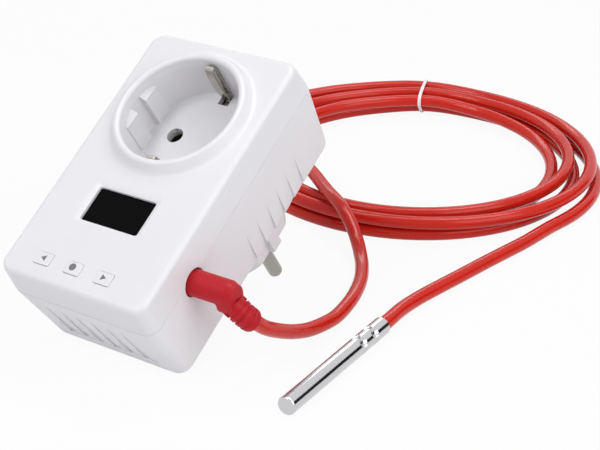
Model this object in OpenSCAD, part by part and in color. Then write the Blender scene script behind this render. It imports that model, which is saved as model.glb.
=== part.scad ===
// Plug-in temperature switch: a round safety socket in the front, a plug on the back,
// a display with three keys, and a corded probe on a jack plug.
// It lies as it is put down on a table: on the tips of its plug pins and on the rear edge
// of its button end. Z is up, the floor is z = 0, +Y is the socket end, +X the jack side.

/* [Housing] */
// Width of the front face
face_w = 55.5; // [45:0.5:80]
// Length of the front face
face_l = 94; // [80:0.5:130]
// Depth from the front face to the parting line
front_depth = 11; // [10:0.5:14]
// Depth from the front face to the rear face
body_depth = 38; // [36:0.5:50]
// Overhang of the parting line outside the face, on each side
flare_side = 0.4; // [0:0.1:1]
// Overhang of the parting line outside the face, at each end
flare_end = 1; // [0:0.1:2]
// Draft of the rear half on each side, over its whole depth
rear_draft_side = 1.95; // [0.5:0.05:2.5]
// Draft of the rear half at each end, over its whole depth
rear_draft_end = 1.8; // [0.5:0.05:2.5]
// Wall of both shells
wall = 2; // [1.6:0.1:3]
// Radius of the four upright corners
corner_r = 4.5; // [3:0.5:8]
// Chamfer round the front face
face_soft = 1.3; // [0.5:0.1:2]
// Chamfer round the rear face
rear_soft = 1.2; // [0.5:0.1:2]

/* [Socket] */
// Distance of the socket's centre from the socket end of the face
socket_end = 27.3; // [26:0.1:30]
// Bore of the socket well
well_d = 38.6; // [38:0.1:40]
// Depth of the well from the crest of its rim
well_depth = 17.5; // [17:0.1:18]
// Height of the rim over the face
rim_h = 3.5; // [2:0.1:5]
// Distance between the two contact holes
pin_pitch = 19; // [18.5:0.1:19.5]
// Bore of a contact hole
hole_d = 5.5; // [5.1:0.1:6]
// Width of a guide rib
rib_w = 6; // [5:0.1:7]
// Gap between the two guide ribs of a side
rib_gap = 5; // [4.6:0.1:6]
// How far a guide rib stands into the well
rib_depth = 2.4; // [1.5:0.1:3]

/* [Plug] */
// How far the plug's centre lies from the socket's, towards the button end
plug_drop = 7.2; // [3:0.1:12]
// Diameter of the plug's round base
base_d = 36.8; // [36:0.1:38]
// Height of the plug's round base
base_h = 17; // [15:0.5:18]
// Diameter of a plug pin
pin_d = 4.8; // [4.6:0.1:5]
// Length of a plug pin outside its base
pin_l = 19; // [18:0.5:20]

/* [Front] */
// Width of the display opening
display_w = 22; // [18:0.5:28]
// Height of the display opening
display_h = 12.3; // [10:0.1:16]
// Width of a key
key_w = 5.8; // [5:0.1:8]
// Height of a key
key_h = 4.1; // [3.5:0.1:6]
// Clearance between the outer keys and the screw bosses beside them
key_boss_air = 0.55; // [0.3:0.05:3]
// Travel of a key
key_travel = 0.4; // [0.2:0.05:0.6]
// Number of louvre grooves on each long side and on the button end
vent_count = 6; // [3:1:8]

/* [Sensor] */
// Diameter of the sensor cord
cord_d = 4.7; // [3:0.1:6]
// Diameter of the probe sleeve
probe_d = 6; // [4:0.5:8]
// Length of the probe sleeve
probe_l = 55; // [30:1:80]
// Turns of the coil, over both layers
coil_turns = 4.46; // [3.46:1:5.46]

/* [Hidden] */
$fn = 64;
post_fn = 32;
over = 1;            // overrun of a cut past the face it opens
film = 0.01;         // thickness of a hull's end layer
air = 0.1;           // clearance between two fitted pieces
seat_air = 0.2;      // clearance between two wide fitted pieces

// Housing
well_r = well_d / 2;
well_floor_z = rim_h - well_depth;
mid_w = face_w + 2 * flare_side;
mid_l = face_l + 2 * flare_end;
rear_w = mid_w - 2 * rear_draft_side;
rear_l = mid_l - 2 * rear_draft_end;
inner_w = face_w - 2 * wall;
inner_l = face_l - 2 * wall;
inner_mid_w = mid_w - 2 * wall;
inner_mid_l = mid_l - 2 * wall;
inner_rear_w = rear_w - 2 * wall;
inner_rear_l = rear_l - 2 * wall;
inner_corner_r = corner_r - wall;
rear_floor_z = -body_depth + wall;
socket_y = face_l / 2 - socket_end;
plug_y = socket_y - plug_drop;

// Rest position: plug pin tips and the button end's rear edge touch the floor
pin_tip_r = 1.6;
pin_tip_h = 1.2;
rest_run = plug_y - pin_tip_r + rear_l / 2 - rear_soft;
rest_drop = base_h + pin_l;
tilt = atan2(rest_drop, rest_run);
foot_y = -rear_l / 2 + rear_soft;
foot_z = -body_depth;
low_y = (-face_l / 2 - foot_y) * cos(tilt) - (-face_soft - foot_z) * sin(tilt);
high_y = (rear_l / 2 - foot_y) * cos(tilt) - (rear_soft - body_depth - foot_z) * sin(tilt);
shift_y = -(low_y + high_y) / 2;

// Case screws in the four corners
case_screw_in_x = 2.9;
case_screw_in_y = 3.9;
case_screw_x = inner_rear_w / 2 - case_screw_in_x;
case_screw_y = inner_rear_l / 2 - case_screw_in_y;
screw_head_r = 2.8;
screw_head_h = 1.8;
screw_shank_r = 1.25;
screw_hole_r = 1.6;
pilot_r = 1.35;
boss_r = 3.4;
tube_r = 4.2;
tube_bore_r = 3.1;
tube_floor_z = -19;
boss_end_z = -17;
screw_tip_z = -6;
slot_w = 0.8;
slot_t = 0.6;
slot_l = 3.9;

// Rim and well
rim_crest_w = 1.7;
rim_foot_w = 4.6;
rim_crest_r = well_r + rim_crest_w;
rim_foot_r = well_r + rim_foot_w;
rim_foot_h = 1.2;
lip_z = -0.6;
cup_wall = 1.6;
cup_r = well_r + cup_wall;
cup_floor_t = 2;
flange_w = 3.9;
flange_r = well_r + flange_w;
flange_t = 1.6;
contact_boss_r = 4.6;
contact_boss_h = 2;
rib_top_z = lip_z;
earth_slot_w = 6;

// Earth bracket: one bent strip under the well whose arms stand in its slots
strip_t = 0.8;
strip_w = 4.6;
strip_drop = 0.5;
strip_z = well_floor_z - cup_floor_t - strip_drop;
arm_back = 1.7;
arm_y = well_r - arm_back;
arm_rise = 1.5;
arm_bow = 2.5;
arm_bow_h = 11.2;
arm_hook_h = 3.9;
arm_hook_shares = [[0.9, -0.5], [1, -0.1], [0.93, 0.25], [0.55, 0.7], [0.1, 1]];
arm_points = concat([[arm_y, strip_z], [arm_y, well_floor_z + arm_rise]],
    [for (share = arm_hook_shares)
        [arm_y - share[0] * arm_bow, well_floor_z + arm_bow_h + share[1] * arm_hook_h]]);
earth_slot_play = 1.8;
earth_slot_in = arm_y - strip_t / 2 - earth_slot_play;
earth_slot_out = arm_y + strip_t / 2 + strip_drop;

// Socket contacts
sleeve_r = 3.1;
sleeve_bore_r = 2.45;
sleeve_top_z = well_floor_z - cup_floor_t - contact_boss_h - air;
sleeve_slit = 1;
sleeve_tail_w = 2;
sleeve_tail_t = 0.8;

// Plug base and its pieces
base_r = base_d / 2;
base_end_z = -body_depth - base_h;
base_flange_w = 0.9;
base_flange_t = 1.2;
base_top_z = rear_floor_z + base_flange_t;
base_chamfer = 1;
channel_air = 0.3;
channel_w = rib_w + 2 * channel_air;
channel_gap = rib_gap - 2 * channel_air;
channel_depth = 2.4;
channel_l = 15;
pin_step = 0.3;
pin_shank_r = pin_d / 2 - pin_step;
pin_tail_r = 1.1;
pin_tail_up = 1;
earth_pad_w = 7;
plug_earth_w = 6;
plug_clip_back = 1.1;
plug_clip_end_share = 1.2;
plug_clip_shares = [[1, 0.07], [1, 0.24], [0.3, 0.53], [1.1, 0.86], [plug_clip_end_share, 0.95]];
earth_pad_depth = plug_clip_end_share * plug_clip_back + strip_t / 2 + air;
plug_earth_points = [for (share = plug_clip_shares)
    [base_r - share[0] * plug_clip_back, -body_depth - share[1] * base_h]];

// Boards
board_t = 1.6;
board_side_air = 0.2;
board_end_air = 0.7;
tube_air = 0.6;
boss_air = 1.1;
control_side_air = 2.75;
control_end_air = 0.6;
control_cup_air = 3.6;
board_w = inner_rear_w - 2 * board_side_air;
board_l = inner_rear_l - 2 * board_end_air;
board_neck_w = 2 * (case_screw_x - tube_r - tube_air);
board_side_l = 2 * (case_screw_y - tube_r - tube_air);
power_lift = 5;
power_z = rear_floor_z + power_lift;
sleeve_air = 2.3;
sleeve_l = sleeve_top_z - power_z - sleeve_air;
control_w = inner_w - 2 * control_side_air;
control_bottom_y = -inner_l / 2 + control_end_air;
control_top_y = socket_y - cup_r - control_cup_air;
control_side_y = -case_screw_y + boss_r + boss_air;
control_neck_w = 2 * (case_screw_x - boss_r - boss_air);
tail_hole_r = 1.3;
pillar_r = 2.4;
board_screw_head_r = 2.1;
board_screw_head_h = 1.3;
board_screw_r = 1;
board_screw_hole_r = 1.2;
board_screw_pilot_r = 1.1;
board_screw_l = 3.6;
board_screw_in_x = 3.2;
board_screw_in_y = 2.8;
power_screw_x = board_w / 2 - board_screw_in_x;
power_screw_y = board_side_l / 2 - board_screw_in_y;
power_screws = [for (sx = [-1, 1], sy = [-1, 1]) [sx * power_screw_x, sy * power_screw_y]];
control_screw_x = control_w / 2 - board_screw_in_x;
control_screws = [[-control_screw_x, control_top_y - board_screw_in_y],
    [control_screw_x, control_top_y - board_screw_in_y], [-control_screw_x, control_side_y + board_screw_in_y]];

// Louvre grooves
side_vent_pitch = 6.05;
side_vent_end = 18.6;
side_vent_l = 14;
side_vent_depth = 1.3;
side_vent_rise = 1.2;
end_vent_pitch = 5.9;
end_vent_shift = 0.6;
end_vent_low = 5.4;
end_vent_l = 13.6;
end_vent_depth = 1;
end_vent_rise = 0.9;
side_vent_first_y = face_l / 2 - side_vent_end;
side_vent_top_z = -body_depth + side_vent_l;
end_vent_first_x = -vent_count * end_vent_pitch / 2 + end_vent_shift;
end_vent_top_z = -body_depth + end_vent_low + end_vent_l;

// Display and keys
display_mid_share = -0.0162;
display_up_share = 0.6714;
bevel_side = 1.9;
bevel_depth = 1.1;
window_side = 1.3;
window_t = 0.8;
module_side = 2.2;
key_mid_share = -0.0378;
key_end = 7.3;
key_proud = 0.3;
key_gap = 0.15;
key_lip = 0.7;
key_lip_t = 0.8;
key_back_air = 0.05;
key_stem_r = 1.2;
key_stem_l = 0.65;
switch_side = 6;
switch_h = 2.4;
plunger_r = 1.6;
plunger_h = 0.3;
plunger_air = 0.2;
key_mid_x = key_mid_share * face_w;
key_y = -face_l / 2 + key_end;
key_pitch = case_screw_x - boss_r - key_boss_air - key_lip - key_w / 2 - abs(key_mid_x);
key_stem_end_z = -wall - key_back_air - key_lip_t - key_stem_l;
switch_top_z = key_stem_end_z - key_travel - plunger_air - plunger_h;
control_z = switch_top_z - switch_h - board_t;
display_x = display_mid_share * face_w;
display_low_y = key_y + key_h / 2;
display_y = display_low_y + (socket_y - rim_foot_r - display_low_y - display_h) * display_up_share + display_h / 2;

// Parts on the power board
relay_size = [15.5, 19, 14];
relay_shares = [-0.28, -0.18];
capacitor_size = [8.5, 18, 14];
capacitor_shares = [0.34, -0.18];
smoother_r = 4;
smoother_h = 11;
smoother_shares = [0.05, -0.38];
varistor_r = 4.6;
varistor_t = 3.6;
varistor_shares = [-0.2, -0.42];
lead_r = 0.4;
lead_spread = 2.5;
lead_l = 2.2;
fuse_r = 2.4;
fuse_l = 20;
fuse_cap_r = 2.6;
fuse_cap_l = 4.6;
fuse_shares = [0.1, -0.175];
fuse_lift = 4.2;
clip_w = 3;
clip_t = 0.5;
link_pins = 5;
link_pitch = 2.54;
link_share = -0.47;
link_edge = 0.3;
link_pin_w = 0.64;
link_block_h = 8;
link_block_w = 2.5;
link_at = [board_neck_w / 2 - link_pins * link_pitch / 2 - link_edge, link_share * board_l, 0];

// Jack socket and plug
jack_end = 18.3;
jack_y = -face_l / 2 + jack_end;
jack_z = -front_depth;
jack_hole_r = 4.8;
jack_pin_r = 1.75;
jack_bore_r = 1.8;
jack_body_w = 6.4;
jack_body_l = 14.2;
jack_body_air = 0.15;
jack_body_drop = 2.7;
jack_plug_air = 0.3;
barrel_l = 12.7;
barrel_lip_l = 1;
elbow_l = 9.8;
elbow_turn = 5.6;
elbow_disc_h = 0.9;
elbow_disc_r = 4.2;
barrel_r = 4.1;
barrel_lip_r = 4.9;
elbow_r = 5.1;
jack_body_top_z = control_z - key_back_air;
jack_body_low_z = jack_z - jack_body_drop;
jack_body_out_x = inner_w / 2 - jack_body_air;
jack_body_in_x = jack_body_out_x - jack_body_l;
barrel_in_x = jack_body_out_x + jack_plug_air;
barrel_lip_x = barrel_in_x + barrel_l;
elbow_in_x = barrel_lip_x + barrel_lip_l;
elbow_out_x = elbow_in_x + elbow_l;
elbow_x = elbow_in_x + elbow_turn;
relief_top_r = 3.9;
relief_end_r = 3.4;
relief_neck_l = 6.4;
relief_ring_l = 1.5;
relief_groove_l = 1.1;
relief_rings = 3;
relief_core_r = 2.9;
relief_l = relief_neck_l + relief_rings * (relief_ring_l + relief_groove_l);
jack_pin_l = 13.8;
jack_pin_seat_l = 6;
jack_ring_r = 1.5;
jack_ring_l = 0.6;

// Cord: the two free stretches follow points chosen by hand, the coil is worked out
cord_r = cord_d / 2;
cord_z = cord_r;
lead_mid = [[45.2, -16.1, 14.9], [45.2, -8, 10.9], [45.2, -0.5, 7.7], [45.2, 7.5, 5.2], [45.2, 15.5, 3.5],
    [44.8, 23.5, 2.5], [43.4, 32, 2.35], [41.2, 40, 2.35], [37.6, 49, 2.35], [32.6, 57.6, 2.5], [28, 63.6, 3.4],
    [24, 67.8, 5.4], [19.6, 71.2, 8.6], [14.8, 74, 11.6], [10, 77, 12.9], [2, 82.4, 13.1], [-10, 92, 12.8],
    [-24, 103, 12], [-38, 114, 12.4], [-49, 123, 13.1], [-58, 132, 13.1], [-65, 142, 12], [-69, 153, 9.2]];
probe_mid = [[71.2, 114, 2.35], [69.4, 104, 2.35], [67.6, 94, 2.35], [65.6, 83, 2.35], [63.6, 71, 2.35],
    [61.6, 59.5, 2.35], [60, 49, 2.4], [59.6, 39, 2.7]];
probe_tip = [62.8, -29.1];
probe_turn = 2.4;
tube_sides = 8;
tube_step = 11;

coil_centre = [1.5, 141.5];
coil_a = 72.5;
coil_b = 65.5;
coil_pitch_a = 9.5;
coil_pitch_b = 5.9;
coil_yaw = -11;
coil_rings = 24;
coil_sides = 6;
layer_air = 0.45;
layer_step = cord_d + layer_air;
coil_start = 360 * (coil_turns - floor(coil_turns));
climb_turns = 0.25;

tie_angle = 125;
tie_w = 2.4;
tie_t = 0.8;
tie_lift_power = 30;
tie_air = 0.4;
tie_low_air = 0.15;
tie_corner_r = 2.2;

// Probe
probe_end_r = 0.6;
crimp_r = 2.62;
crimp_l = 1.6;
crimp_shares = [0.1345, 0.2582];

// Places a piece drawn in the housing's own frame: face at z = 0, front towards +Z
module placed() {
    translate([0, shift_y, 0])
        rotate([tilt, 0, 0])
            translate([0, -foot_y, -foot_z])
                children();
}

// Solid with rounded upright corners through a list of [width, length, height, radius] levels
module stack(levels) {
    hull()
        for (level = levels, sx = [-1, 1], sy = [-1, 1])
            translate([sx * (level[0] / 2 - level[3]), sy * (level[1] / 2 - level[3]), level[2]])
                cylinder(r = level[3], h = film, $fn = post_fn);
}

module box_on(size, at, z) {
    translate([at[0] - size[0] / 2, at[1] - size[1] / 2, z])
        cube(size);
}

module post(r, low_z, high_z) {
    translate([0, 0, low_z])
        cylinder(r = r, h = high_z - low_z);
}

module at_corners() {
    for (sx = [-1, 1], sy = [-1, 1])
        translate([sx * case_screw_x, sy * case_screw_y, 0])
            children();
}

module at_points(points) {
    for (p = points)
        translate([p[0], p[1], 0])
            children();
}

// A place on the power board, from its shares of the board's width and length
function on_board(shares) = [shares[0] * board_w, shares[1] * board_l, 0];

function key_x(index) = key_mid_x + (index - 1) * key_pitch;

function unit(v) = v / norm(v);

function side_of(points, i) =
    let (a = points[max(i - 1, 0)], b = points[min(i + 1, len(points) - 1)], d = unit(b - a))
    [-d[1], d[0]];

// Outline of a bent strip of thickness t along a list of points
function strip_outline(points, t) = concat(
    [for (i = [0 : len(points) - 1]) points[i] + side_of(points, i) * t / 2],
    [for (i = [len(points) - 1 : -1 : 0]) points[i] - side_of(points, i) * t / 2]);

// Bent strip in the Y-Z plane, width w across X
module bent_strip(points, t, w) {
    translate([-w / 2, 0, 0])
        rotate([90, 0, 90])
            linear_extrude(w)
                polygon(strip_outline(points, t));
}

// Swept tube: one polyhedron of rings round a path, square to it at both ends
function tangent(path, i) =
    unit(path[min(i + 1, len(path) - 1)] - path[max(i - 1, 0)]);

function frame_side(t, last) = unit(last - t * (last * t));

function sides(path, i, last) =
    let (s = frame_side(tangent(path, i), last))
    i == len(path) - 1 ? [s] : concat([s], sides(path, i + 1, s));

module tube(path, r, count) {
    n = len(path);
    across = sides(path, 0, [0, 0, 1]);
    points = [for (i = [0 : n - 1], k = [0 : count - 1])
        let (s = across[i], u = cross(tangent(path, i), s), a = k * 360 / count)
        path[i] + r * (cos(a) * s + sin(a) * u)];
    walls = [for (i = [0 : n - 2], k = [0 : count - 1])
        let (m = (k + 1) % count, a = i * count + k, b = i * count + m)
        each [[a, b, a + count], [b, b + count, a + count]]];
    ends = [for (k = [1 : count - 2]) each [[0, k + 1, k], [(n - 1) * count, (n - 1) * count + k,
        (n - 1) * count + k + 1]]];
    polyhedron(points = points, faces = concat(walls, ends));
}

// Smooth curve through points, with rings about tube_step apart
function curve_point(p, i, u) =
    let (a = p[max(i - 1, 0)], b = p[i], c = p[i + 1], d = p[min(i + 2, len(p) - 1)])
    (2 * b + (c - a) * u + (2 * a - 5 * b + 4 * c - d) * u * u + (3 * b - a - 3 * c + d) * u * u * u) / 2;

function smooth(p) = [for (i = [0 : len(p) - 2]) let (n = max(1, round(norm(p[i + 1] - p[i]) / tube_step)))
    for (k = [0 : n - 1]) curve_point(p, i, k / n)];

function route(p) = concat(smooth(p), [p[len(p) - 1]]);

// Coil: spirals in on the upper layer, climbs down where it turns back, spirals out below
function coil_angle(turn) = coil_start - 360 * turn;
function coil_inset(turn) = min(turn, coil_turns - turn);
function coil_climb(turn) =
    let (u = (turn - coil_turns / 2) / climb_turns)
    u < -1 ? 1 : u > 1 ? 0 : (1 - sin(90 * u)) / 2;
function tie_lift(angle) = (tie_t + tie_low_air) * pow(max(0, cos(angle - tie_angle)), tie_lift_power);
function coil_point(turn) =
    let (a = coil_angle(turn), s = coil_inset(turn),
        along = (coil_a - coil_pitch_a * s) * cos(a), across = (coil_b - coil_pitch_b * s) * sin(a))
    [coil_centre[0] + along * cos(coil_yaw) - across * sin(coil_yaw),
     coil_centre[1] + along * sin(coil_yaw) + across * cos(coil_yaw),
     cord_z + layer_step * coil_climb(turn) + tie_lift(a)];
coil_steps = round(coil_turns * coil_rings);
coil_inner = [for (i = [0 : coil_steps]) coil_point(coil_turns * i / coil_steps)];
function coil_way(turn) = unit(coil_point(turn + film) - coil_point(turn - film));
coil_in = coil_way(0);
coil_out = coil_way(coil_turns);
coil_first = coil_inner[0] - coil_in * cord_d;
coil_last = coil_inner[coil_steps] + coil_out * cord_d;
coil_path = concat([coil_first], coil_inner, [coil_last]);
coil_gap = min([for (i = [0 : coil_steps], j = [i + coil_rings / 2 : 1 : coil_steps])
    norm(coil_inner[i] - coil_inner[j])]) - cord_d;
echo(coil_gap = coil_gap);

// Where the strain relief ends, and which way it points, once the housing is tilted
function lie(p) = [p[0],
    shift_y + (p[1] - foot_y) * cos(tilt) - (p[2] - foot_z) * sin(tilt),
    (p[1] - foot_y) * sin(tilt) + (p[2] - foot_z) * cos(tilt)];
relief_end = lie([elbow_x, jack_y, jack_z - relief_l]);
relief_way = [0, sin(tilt), -cos(tilt)];
probe_way = [-sin(probe_turn), cos(probe_turn), 0];
probe_rear = [probe_tip[0], probe_tip[1], probe_d / 2] + probe_way * probe_l;
lead_path = route(concat([relief_end, relief_end + relief_way * cord_r], lead_mid,
    [coil_first - coil_in * cord_d, coil_first]));
probe_path = route(concat([coil_last, coil_last + coil_out * cord_d], probe_mid,
    [probe_rear + probe_way * cord_d, probe_rear]));
function path_length(p) = len(p) < 2 ? 0 : [for (s = 0, i = 0; i < len(p); s = s + (i < len(p) - 1 ?
    norm(p[i + 1] - p[i]) : 0), i = i + 1) s][len(p) - 1];
echo(lead_length = path_length(lead_path), coil_length = path_length(coil_path),
    probe_length = path_length(probe_path));

// Housing pieces

module rim() {
    translate([0, socket_y, 0])
        rotate_extrude()
            polygon(concat(
                [[well_r, lip_z], [well_r, rim_h - (rim_crest_r - well_r)]],
                [for (a = [165 : -15 : 60]) [rim_crest_r + (rim_crest_r - well_r) * cos(a),
                    rim_h - (rim_crest_r - well_r) * (1 - sin(a))]],
                [[(rim_foot_r + rim_crest_r) / 2, rim_foot_h], [rim_foot_r, 0], [rim_foot_r, lip_z]]));
}

module key_window(grow, low_z, high_z) {
    for (i = [0 : 2])
        translate([key_x(i) - key_w / 2 - grow, key_y - key_h / 2 - grow, low_z])
            cube([key_w + 2 * grow, key_h + 2 * grow, high_z - low_z]);
}

module display_recess() {
    translate([display_x, display_y, 0]) {
        hull() {
            translate([-display_w / 2, -display_h / 2, -bevel_depth])
                cube([display_w, display_h, film]);
            translate([-display_w / 2 - bevel_side, -display_h / 2 - bevel_side, 0])
                cube([display_w + 2 * bevel_side, display_h + 2 * bevel_side, film]);
        }
        translate([-display_w / 2, -display_h / 2, -wall - over])
            cube([display_w, display_h, wall + over]);
    }
}

module jack_opening() {
    translate([inner_w / 2 - over, jack_y, jack_z])
        rotate([0, 90, 0])
            cylinder(r = jack_hole_r, h = wall + 2 * over + flare_side);
}

module front_shell() {
    color("white")
        placed()
            difference() {
                union() {
                    difference() {
                        stack([[mid_w, mid_l, -front_depth, corner_r], [face_w, face_l, -face_soft - film, corner_r],
                            [face_w - 2 * face_soft, face_l - 2 * face_soft, -film, corner_r - face_soft]]);
                        stack([[inner_mid_w, inner_mid_l, -front_depth - film, inner_corner_r],
                            [inner_w, inner_l, -wall - film, inner_corner_r]]);
                    }
                    difference() {
                        translate([0, socket_y, lip_z])
                            cylinder(r = rim_foot_r, h = -lip_z);
                        translate([0, socket_y, lip_z - over])
                            cylinder(r = well_r, h = 2 * over - lip_z);
                    }
                    rim();
                    at_corners()
                        post(boss_r, boss_end_z, -wall + film);
                    at_points(control_screws)
                        post(pillar_r, control_z + board_t, -wall + film);
                }
                translate([0, socket_y, -wall - over])
                    cylinder(r = well_r, h = wall + over + rim_h + over);
                translate([0, socket_y, -wall - over])
                    cylinder(r = cup_r + seat_air, h = wall + over + lip_z);
                at_corners()
                    post(pilot_r, boss_end_z - over, -wall - wall / 2);
                at_points(control_screws)
                    post(board_screw_pilot_r, control_z, -wall - film);
                key_window(key_gap, -wall - over, over);
                display_recess();
                jack_opening();
            }
}

// Half the width or length of the rear half at a height
function rear_half(mid, draft, z) =
    mid / 2 - draft * (-front_depth - z) / (body_depth - front_depth - rear_soft);

// Row of louvre grooves: a leaning sawtooth that starts on the wall and is deepest at its low end
module louvres(l, lean, pitch, reach, rise) {
    rotate([0, lean, 0])
        translate([0, 0, -l / cos(lean)])
            linear_extrude(l / cos(lean) + over)
                polygon(concat([[reach, 0]],
                    [for (i = [0 : vent_count - 1]) each [[0, -i * pitch], [rise, -(i + 1) * pitch]]],
                    [[reach, -vent_count * pitch]]));
}

module side_vents() {
    start = rear_half(mid_w, rear_draft_side, side_vent_top_z);
    lean = atan((start - rear_w / 2 + side_vent_depth) / side_vent_l);
    for (side = [0, 1])
        mirror([side, 0, 0])
            translate([start, side_vent_first_y, side_vent_top_z])
                louvres(side_vent_l + over, lean, side_vent_pitch, side_vent_depth + rear_draft_side + over,
                    side_vent_rise);
}

module end_vents() {
    start = rear_half(mid_l, rear_draft_end, end_vent_top_z);
    finish = rear_half(mid_l, rear_draft_end, end_vent_top_z - end_vent_l);
    lean = atan((start - finish + end_vent_depth) / end_vent_l);
    translate([end_vent_first_x, -start, end_vent_top_z])
        rotate([0, 0, -90])
            louvres(end_vent_l, lean, -end_vent_pitch, end_vent_depth + rear_draft_end + over, end_vent_rise);
}

module rear_shell() {
    color("white")
        placed()
            difference() {
                union() {
                    difference() {
                        stack([[mid_w, mid_l, -front_depth - film, corner_r],
                            [rear_w, rear_l, rear_soft - body_depth, corner_r],
                            [rear_w - 2 * rear_soft, rear_l - 2 * rear_soft, -body_depth, corner_r - rear_soft]]);
                        stack([[inner_mid_w, inner_mid_l, -front_depth, inner_corner_r],
                            [inner_rear_w, inner_rear_l, rear_floor_z, inner_corner_r]]);
                    }
                    at_corners()
                        post(tube_r, -body_depth + film, boss_end_z - film);
                    at_points(power_screws)
                        post(pillar_r, rear_floor_z - film, power_z - board_t);
                }
                at_corners()
                    post(tube_bore_r, -body_depth - over, tube_floor_z);
                at_corners()
                    post(screw_hole_r, tube_floor_z - over, boss_end_z + over);
                at_points(power_screws)
                    post(board_screw_pilot_r, rear_floor_z, power_z);
                translate([0, plug_y, -body_depth - over])
                    cylinder(r = base_r + seat_air, h = wall + 2 * over);
                side_vents();
                end_vents();
                jack_opening();
            }
}

// Pieces of the socket

module guide_ribs() {
    for (side = [-1, 1], half = [-1, 1])
        translate([side > 0 ? well_r - rib_depth : -well_r - cup_wall / 2,
            half > 0 ? rib_gap / 2 : -rib_gap / 2 - rib_w, well_floor_z - cup_floor_t / 2])
            cube([rib_depth + cup_wall / 2, rib_w, rib_top_z - well_floor_z + cup_floor_t / 2]);
}

module socket_insert() {
    color("white")
        placed()
            translate([0, socket_y, 0])
                difference() {
                    union() {
                        difference() {
                            post(cup_r, well_floor_z - cup_floor_t, lip_z);
                            post(well_r, well_floor_z, over);
                        }
                        difference() {
                            intersection() {
                                post(flange_r, -wall - flange_t, -wall);
                                box_on([inner_w - 2 * seat_air, 2 * flange_r, flange_t], [0, 0], -wall - flange_t);
                            }
                            post(cup_r - cup_wall / 2, -wall - flange_t - over, over);
                        }
                        intersection() {
                            guide_ribs();
                            post(cup_r, well_floor_z - cup_floor_t, 0);
                        }
                        for (side = [-1, 1])
                            translate([side * pin_pitch / 2, 0, 0])
                                post(contact_boss_r, well_floor_z - cup_floor_t - contact_boss_h,
                                    well_floor_z - cup_floor_t / 2);
                    }
                    for (side = [-1, 1])
                        translate([side * pin_pitch / 2, 0, 0])
                            post(hole_d / 2, well_floor_z - cup_floor_t - contact_boss_h - over, well_floor_z + over);
                    for (side = [-1, 1])
                        translate([-earth_slot_w / 2, side > 0 ? earth_slot_in : -earth_slot_out,
                            well_floor_z - cup_floor_t - over])
                            cube([earth_slot_w, earth_slot_out - earth_slot_in, cup_floor_t + 2 * over]);
                }
}

module earth_bracket() {
    mirrored = [for (p = arm_points) [-p[0], p[1]]];
    path = concat([for (i = [len(mirrored) - 1 : -1 : 0]) mirrored[i]], arm_points);
    color("silver")
        placed()
            translate([0, socket_y, 0])
                bent_strip(path, strip_t, strip_w);
}

module socket_contact(side) {
    color("gold")
        placed()
            translate([side * pin_pitch / 2, socket_y, 0]) {
                difference() {
                    post(sleeve_r, sleeve_top_z - sleeve_l, sleeve_top_z);
                    post(sleeve_bore_r, sleeve_top_z - sleeve_l + sleeve_tail_t, sleeve_top_z + over);
                    translate([-sleeve_slit / 2, 0, sleeve_top_z - sleeve_l + sleeve_tail_t])
                        cube([sleeve_slit, sleeve_r + over, sleeve_l]);
                }
                translate([-sleeve_tail_w / 2, -sleeve_tail_t / 2, power_z])
                    cube([sleeve_tail_w, sleeve_tail_t, sleeve_top_z - sleeve_l - power_z + sleeve_tail_t / 2]);
            }
}

// Pieces of the plug

module rib_channels() {
    for (side = [-1, 1], half = [-1, 1])
        translate([side > 0 ? base_r - channel_depth : -base_r - over,
            half > 0 ? channel_gap / 2 : -channel_gap / 2 - channel_w, base_end_z - over])
            cube([channel_depth + over, channel_w, channel_l + over]);
}

module plug_base() {
    color("white")
        placed()
            translate([0, plug_y, 0])
                difference() {
                    union() {
                        post(base_r, base_end_z + base_chamfer, base_top_z);
                        translate([0, 0, base_end_z])
                            cylinder(r1 = base_r - base_chamfer, r2 = base_r, h = base_chamfer);
                        post(base_r + base_flange_w, rear_floor_z, base_top_z);
                    }
                    rib_channels();
                    for (side = [-1, 1])
                        translate([side * pin_pitch / 2, 0, 0]) {
                            post(pin_d / 2 + air, base_end_z - over, base_end_z + air);
                            post(pin_shank_r + air, base_end_z, base_top_z + over);
                        }
                    for (side = [-1, 1])
                        translate([-earth_pad_w / 2, side > 0 ? base_r - earth_pad_depth : -base_r - over, base_end_z - over])
                            cube([earth_pad_w, earth_pad_depth + over, base_h + over - wall / 2]);
                }
}

// The thinner shank stands between a seat in the base and the power board, and its tail goes through the board
module plug_pin(side) {
    end_z = base_end_z - pin_l;
    shank_z = power_z - board_t - air;
    tail_z = power_z + pin_tail_up;
    color("silver")
        placed()
            translate([side * pin_pitch / 2, plug_y, 0])
                rotate_extrude()
                    polygon([[0, end_z], [pin_tip_r, end_z], [pin_d / 2, end_z + pin_tip_h], [pin_d / 2, base_end_z],
                        [pin_shank_r, base_end_z], [pin_shank_r, shank_z], [pin_tail_r, shank_z], [pin_tail_r, tail_z],
                        [0, tail_z]]);
}

module plug_earth_clips() {
    color("silver")
        placed()
            translate([0, plug_y, 0])
                for (side = [0, 1])
                    mirror([0, side, 0])
                        bent_strip(plug_earth_points, strip_t, plug_earth_w);
}

// Display and keys

module display_window() {
    color("black")
        placed()
            box_on([display_w + 2 * window_side, display_h + 2 * window_side, window_t], [display_x, display_y],
                -wall - window_t);
}

module display_module() {
    color("dimgray")
        placed()
            box_on([display_w + 2 * module_side, display_h + 2 * module_side,
                -wall - window_t - control_z - board_t], [display_x, display_y], control_z + board_t);
}

module key(index) {
    color("white")
        placed()
            translate([key_x(index), key_y, 0]) {
                box_on([key_w, key_h, wall + key_proud + key_back_air], [0, 0], -wall - key_back_air);
                box_on([key_w + 2 * key_lip, key_h + 2 * key_lip, key_lip_t], [0, 0], -wall - key_back_air - key_lip_t);
                post(key_stem_r, key_stem_end_z, -wall - key_back_air);
            }
}

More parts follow.
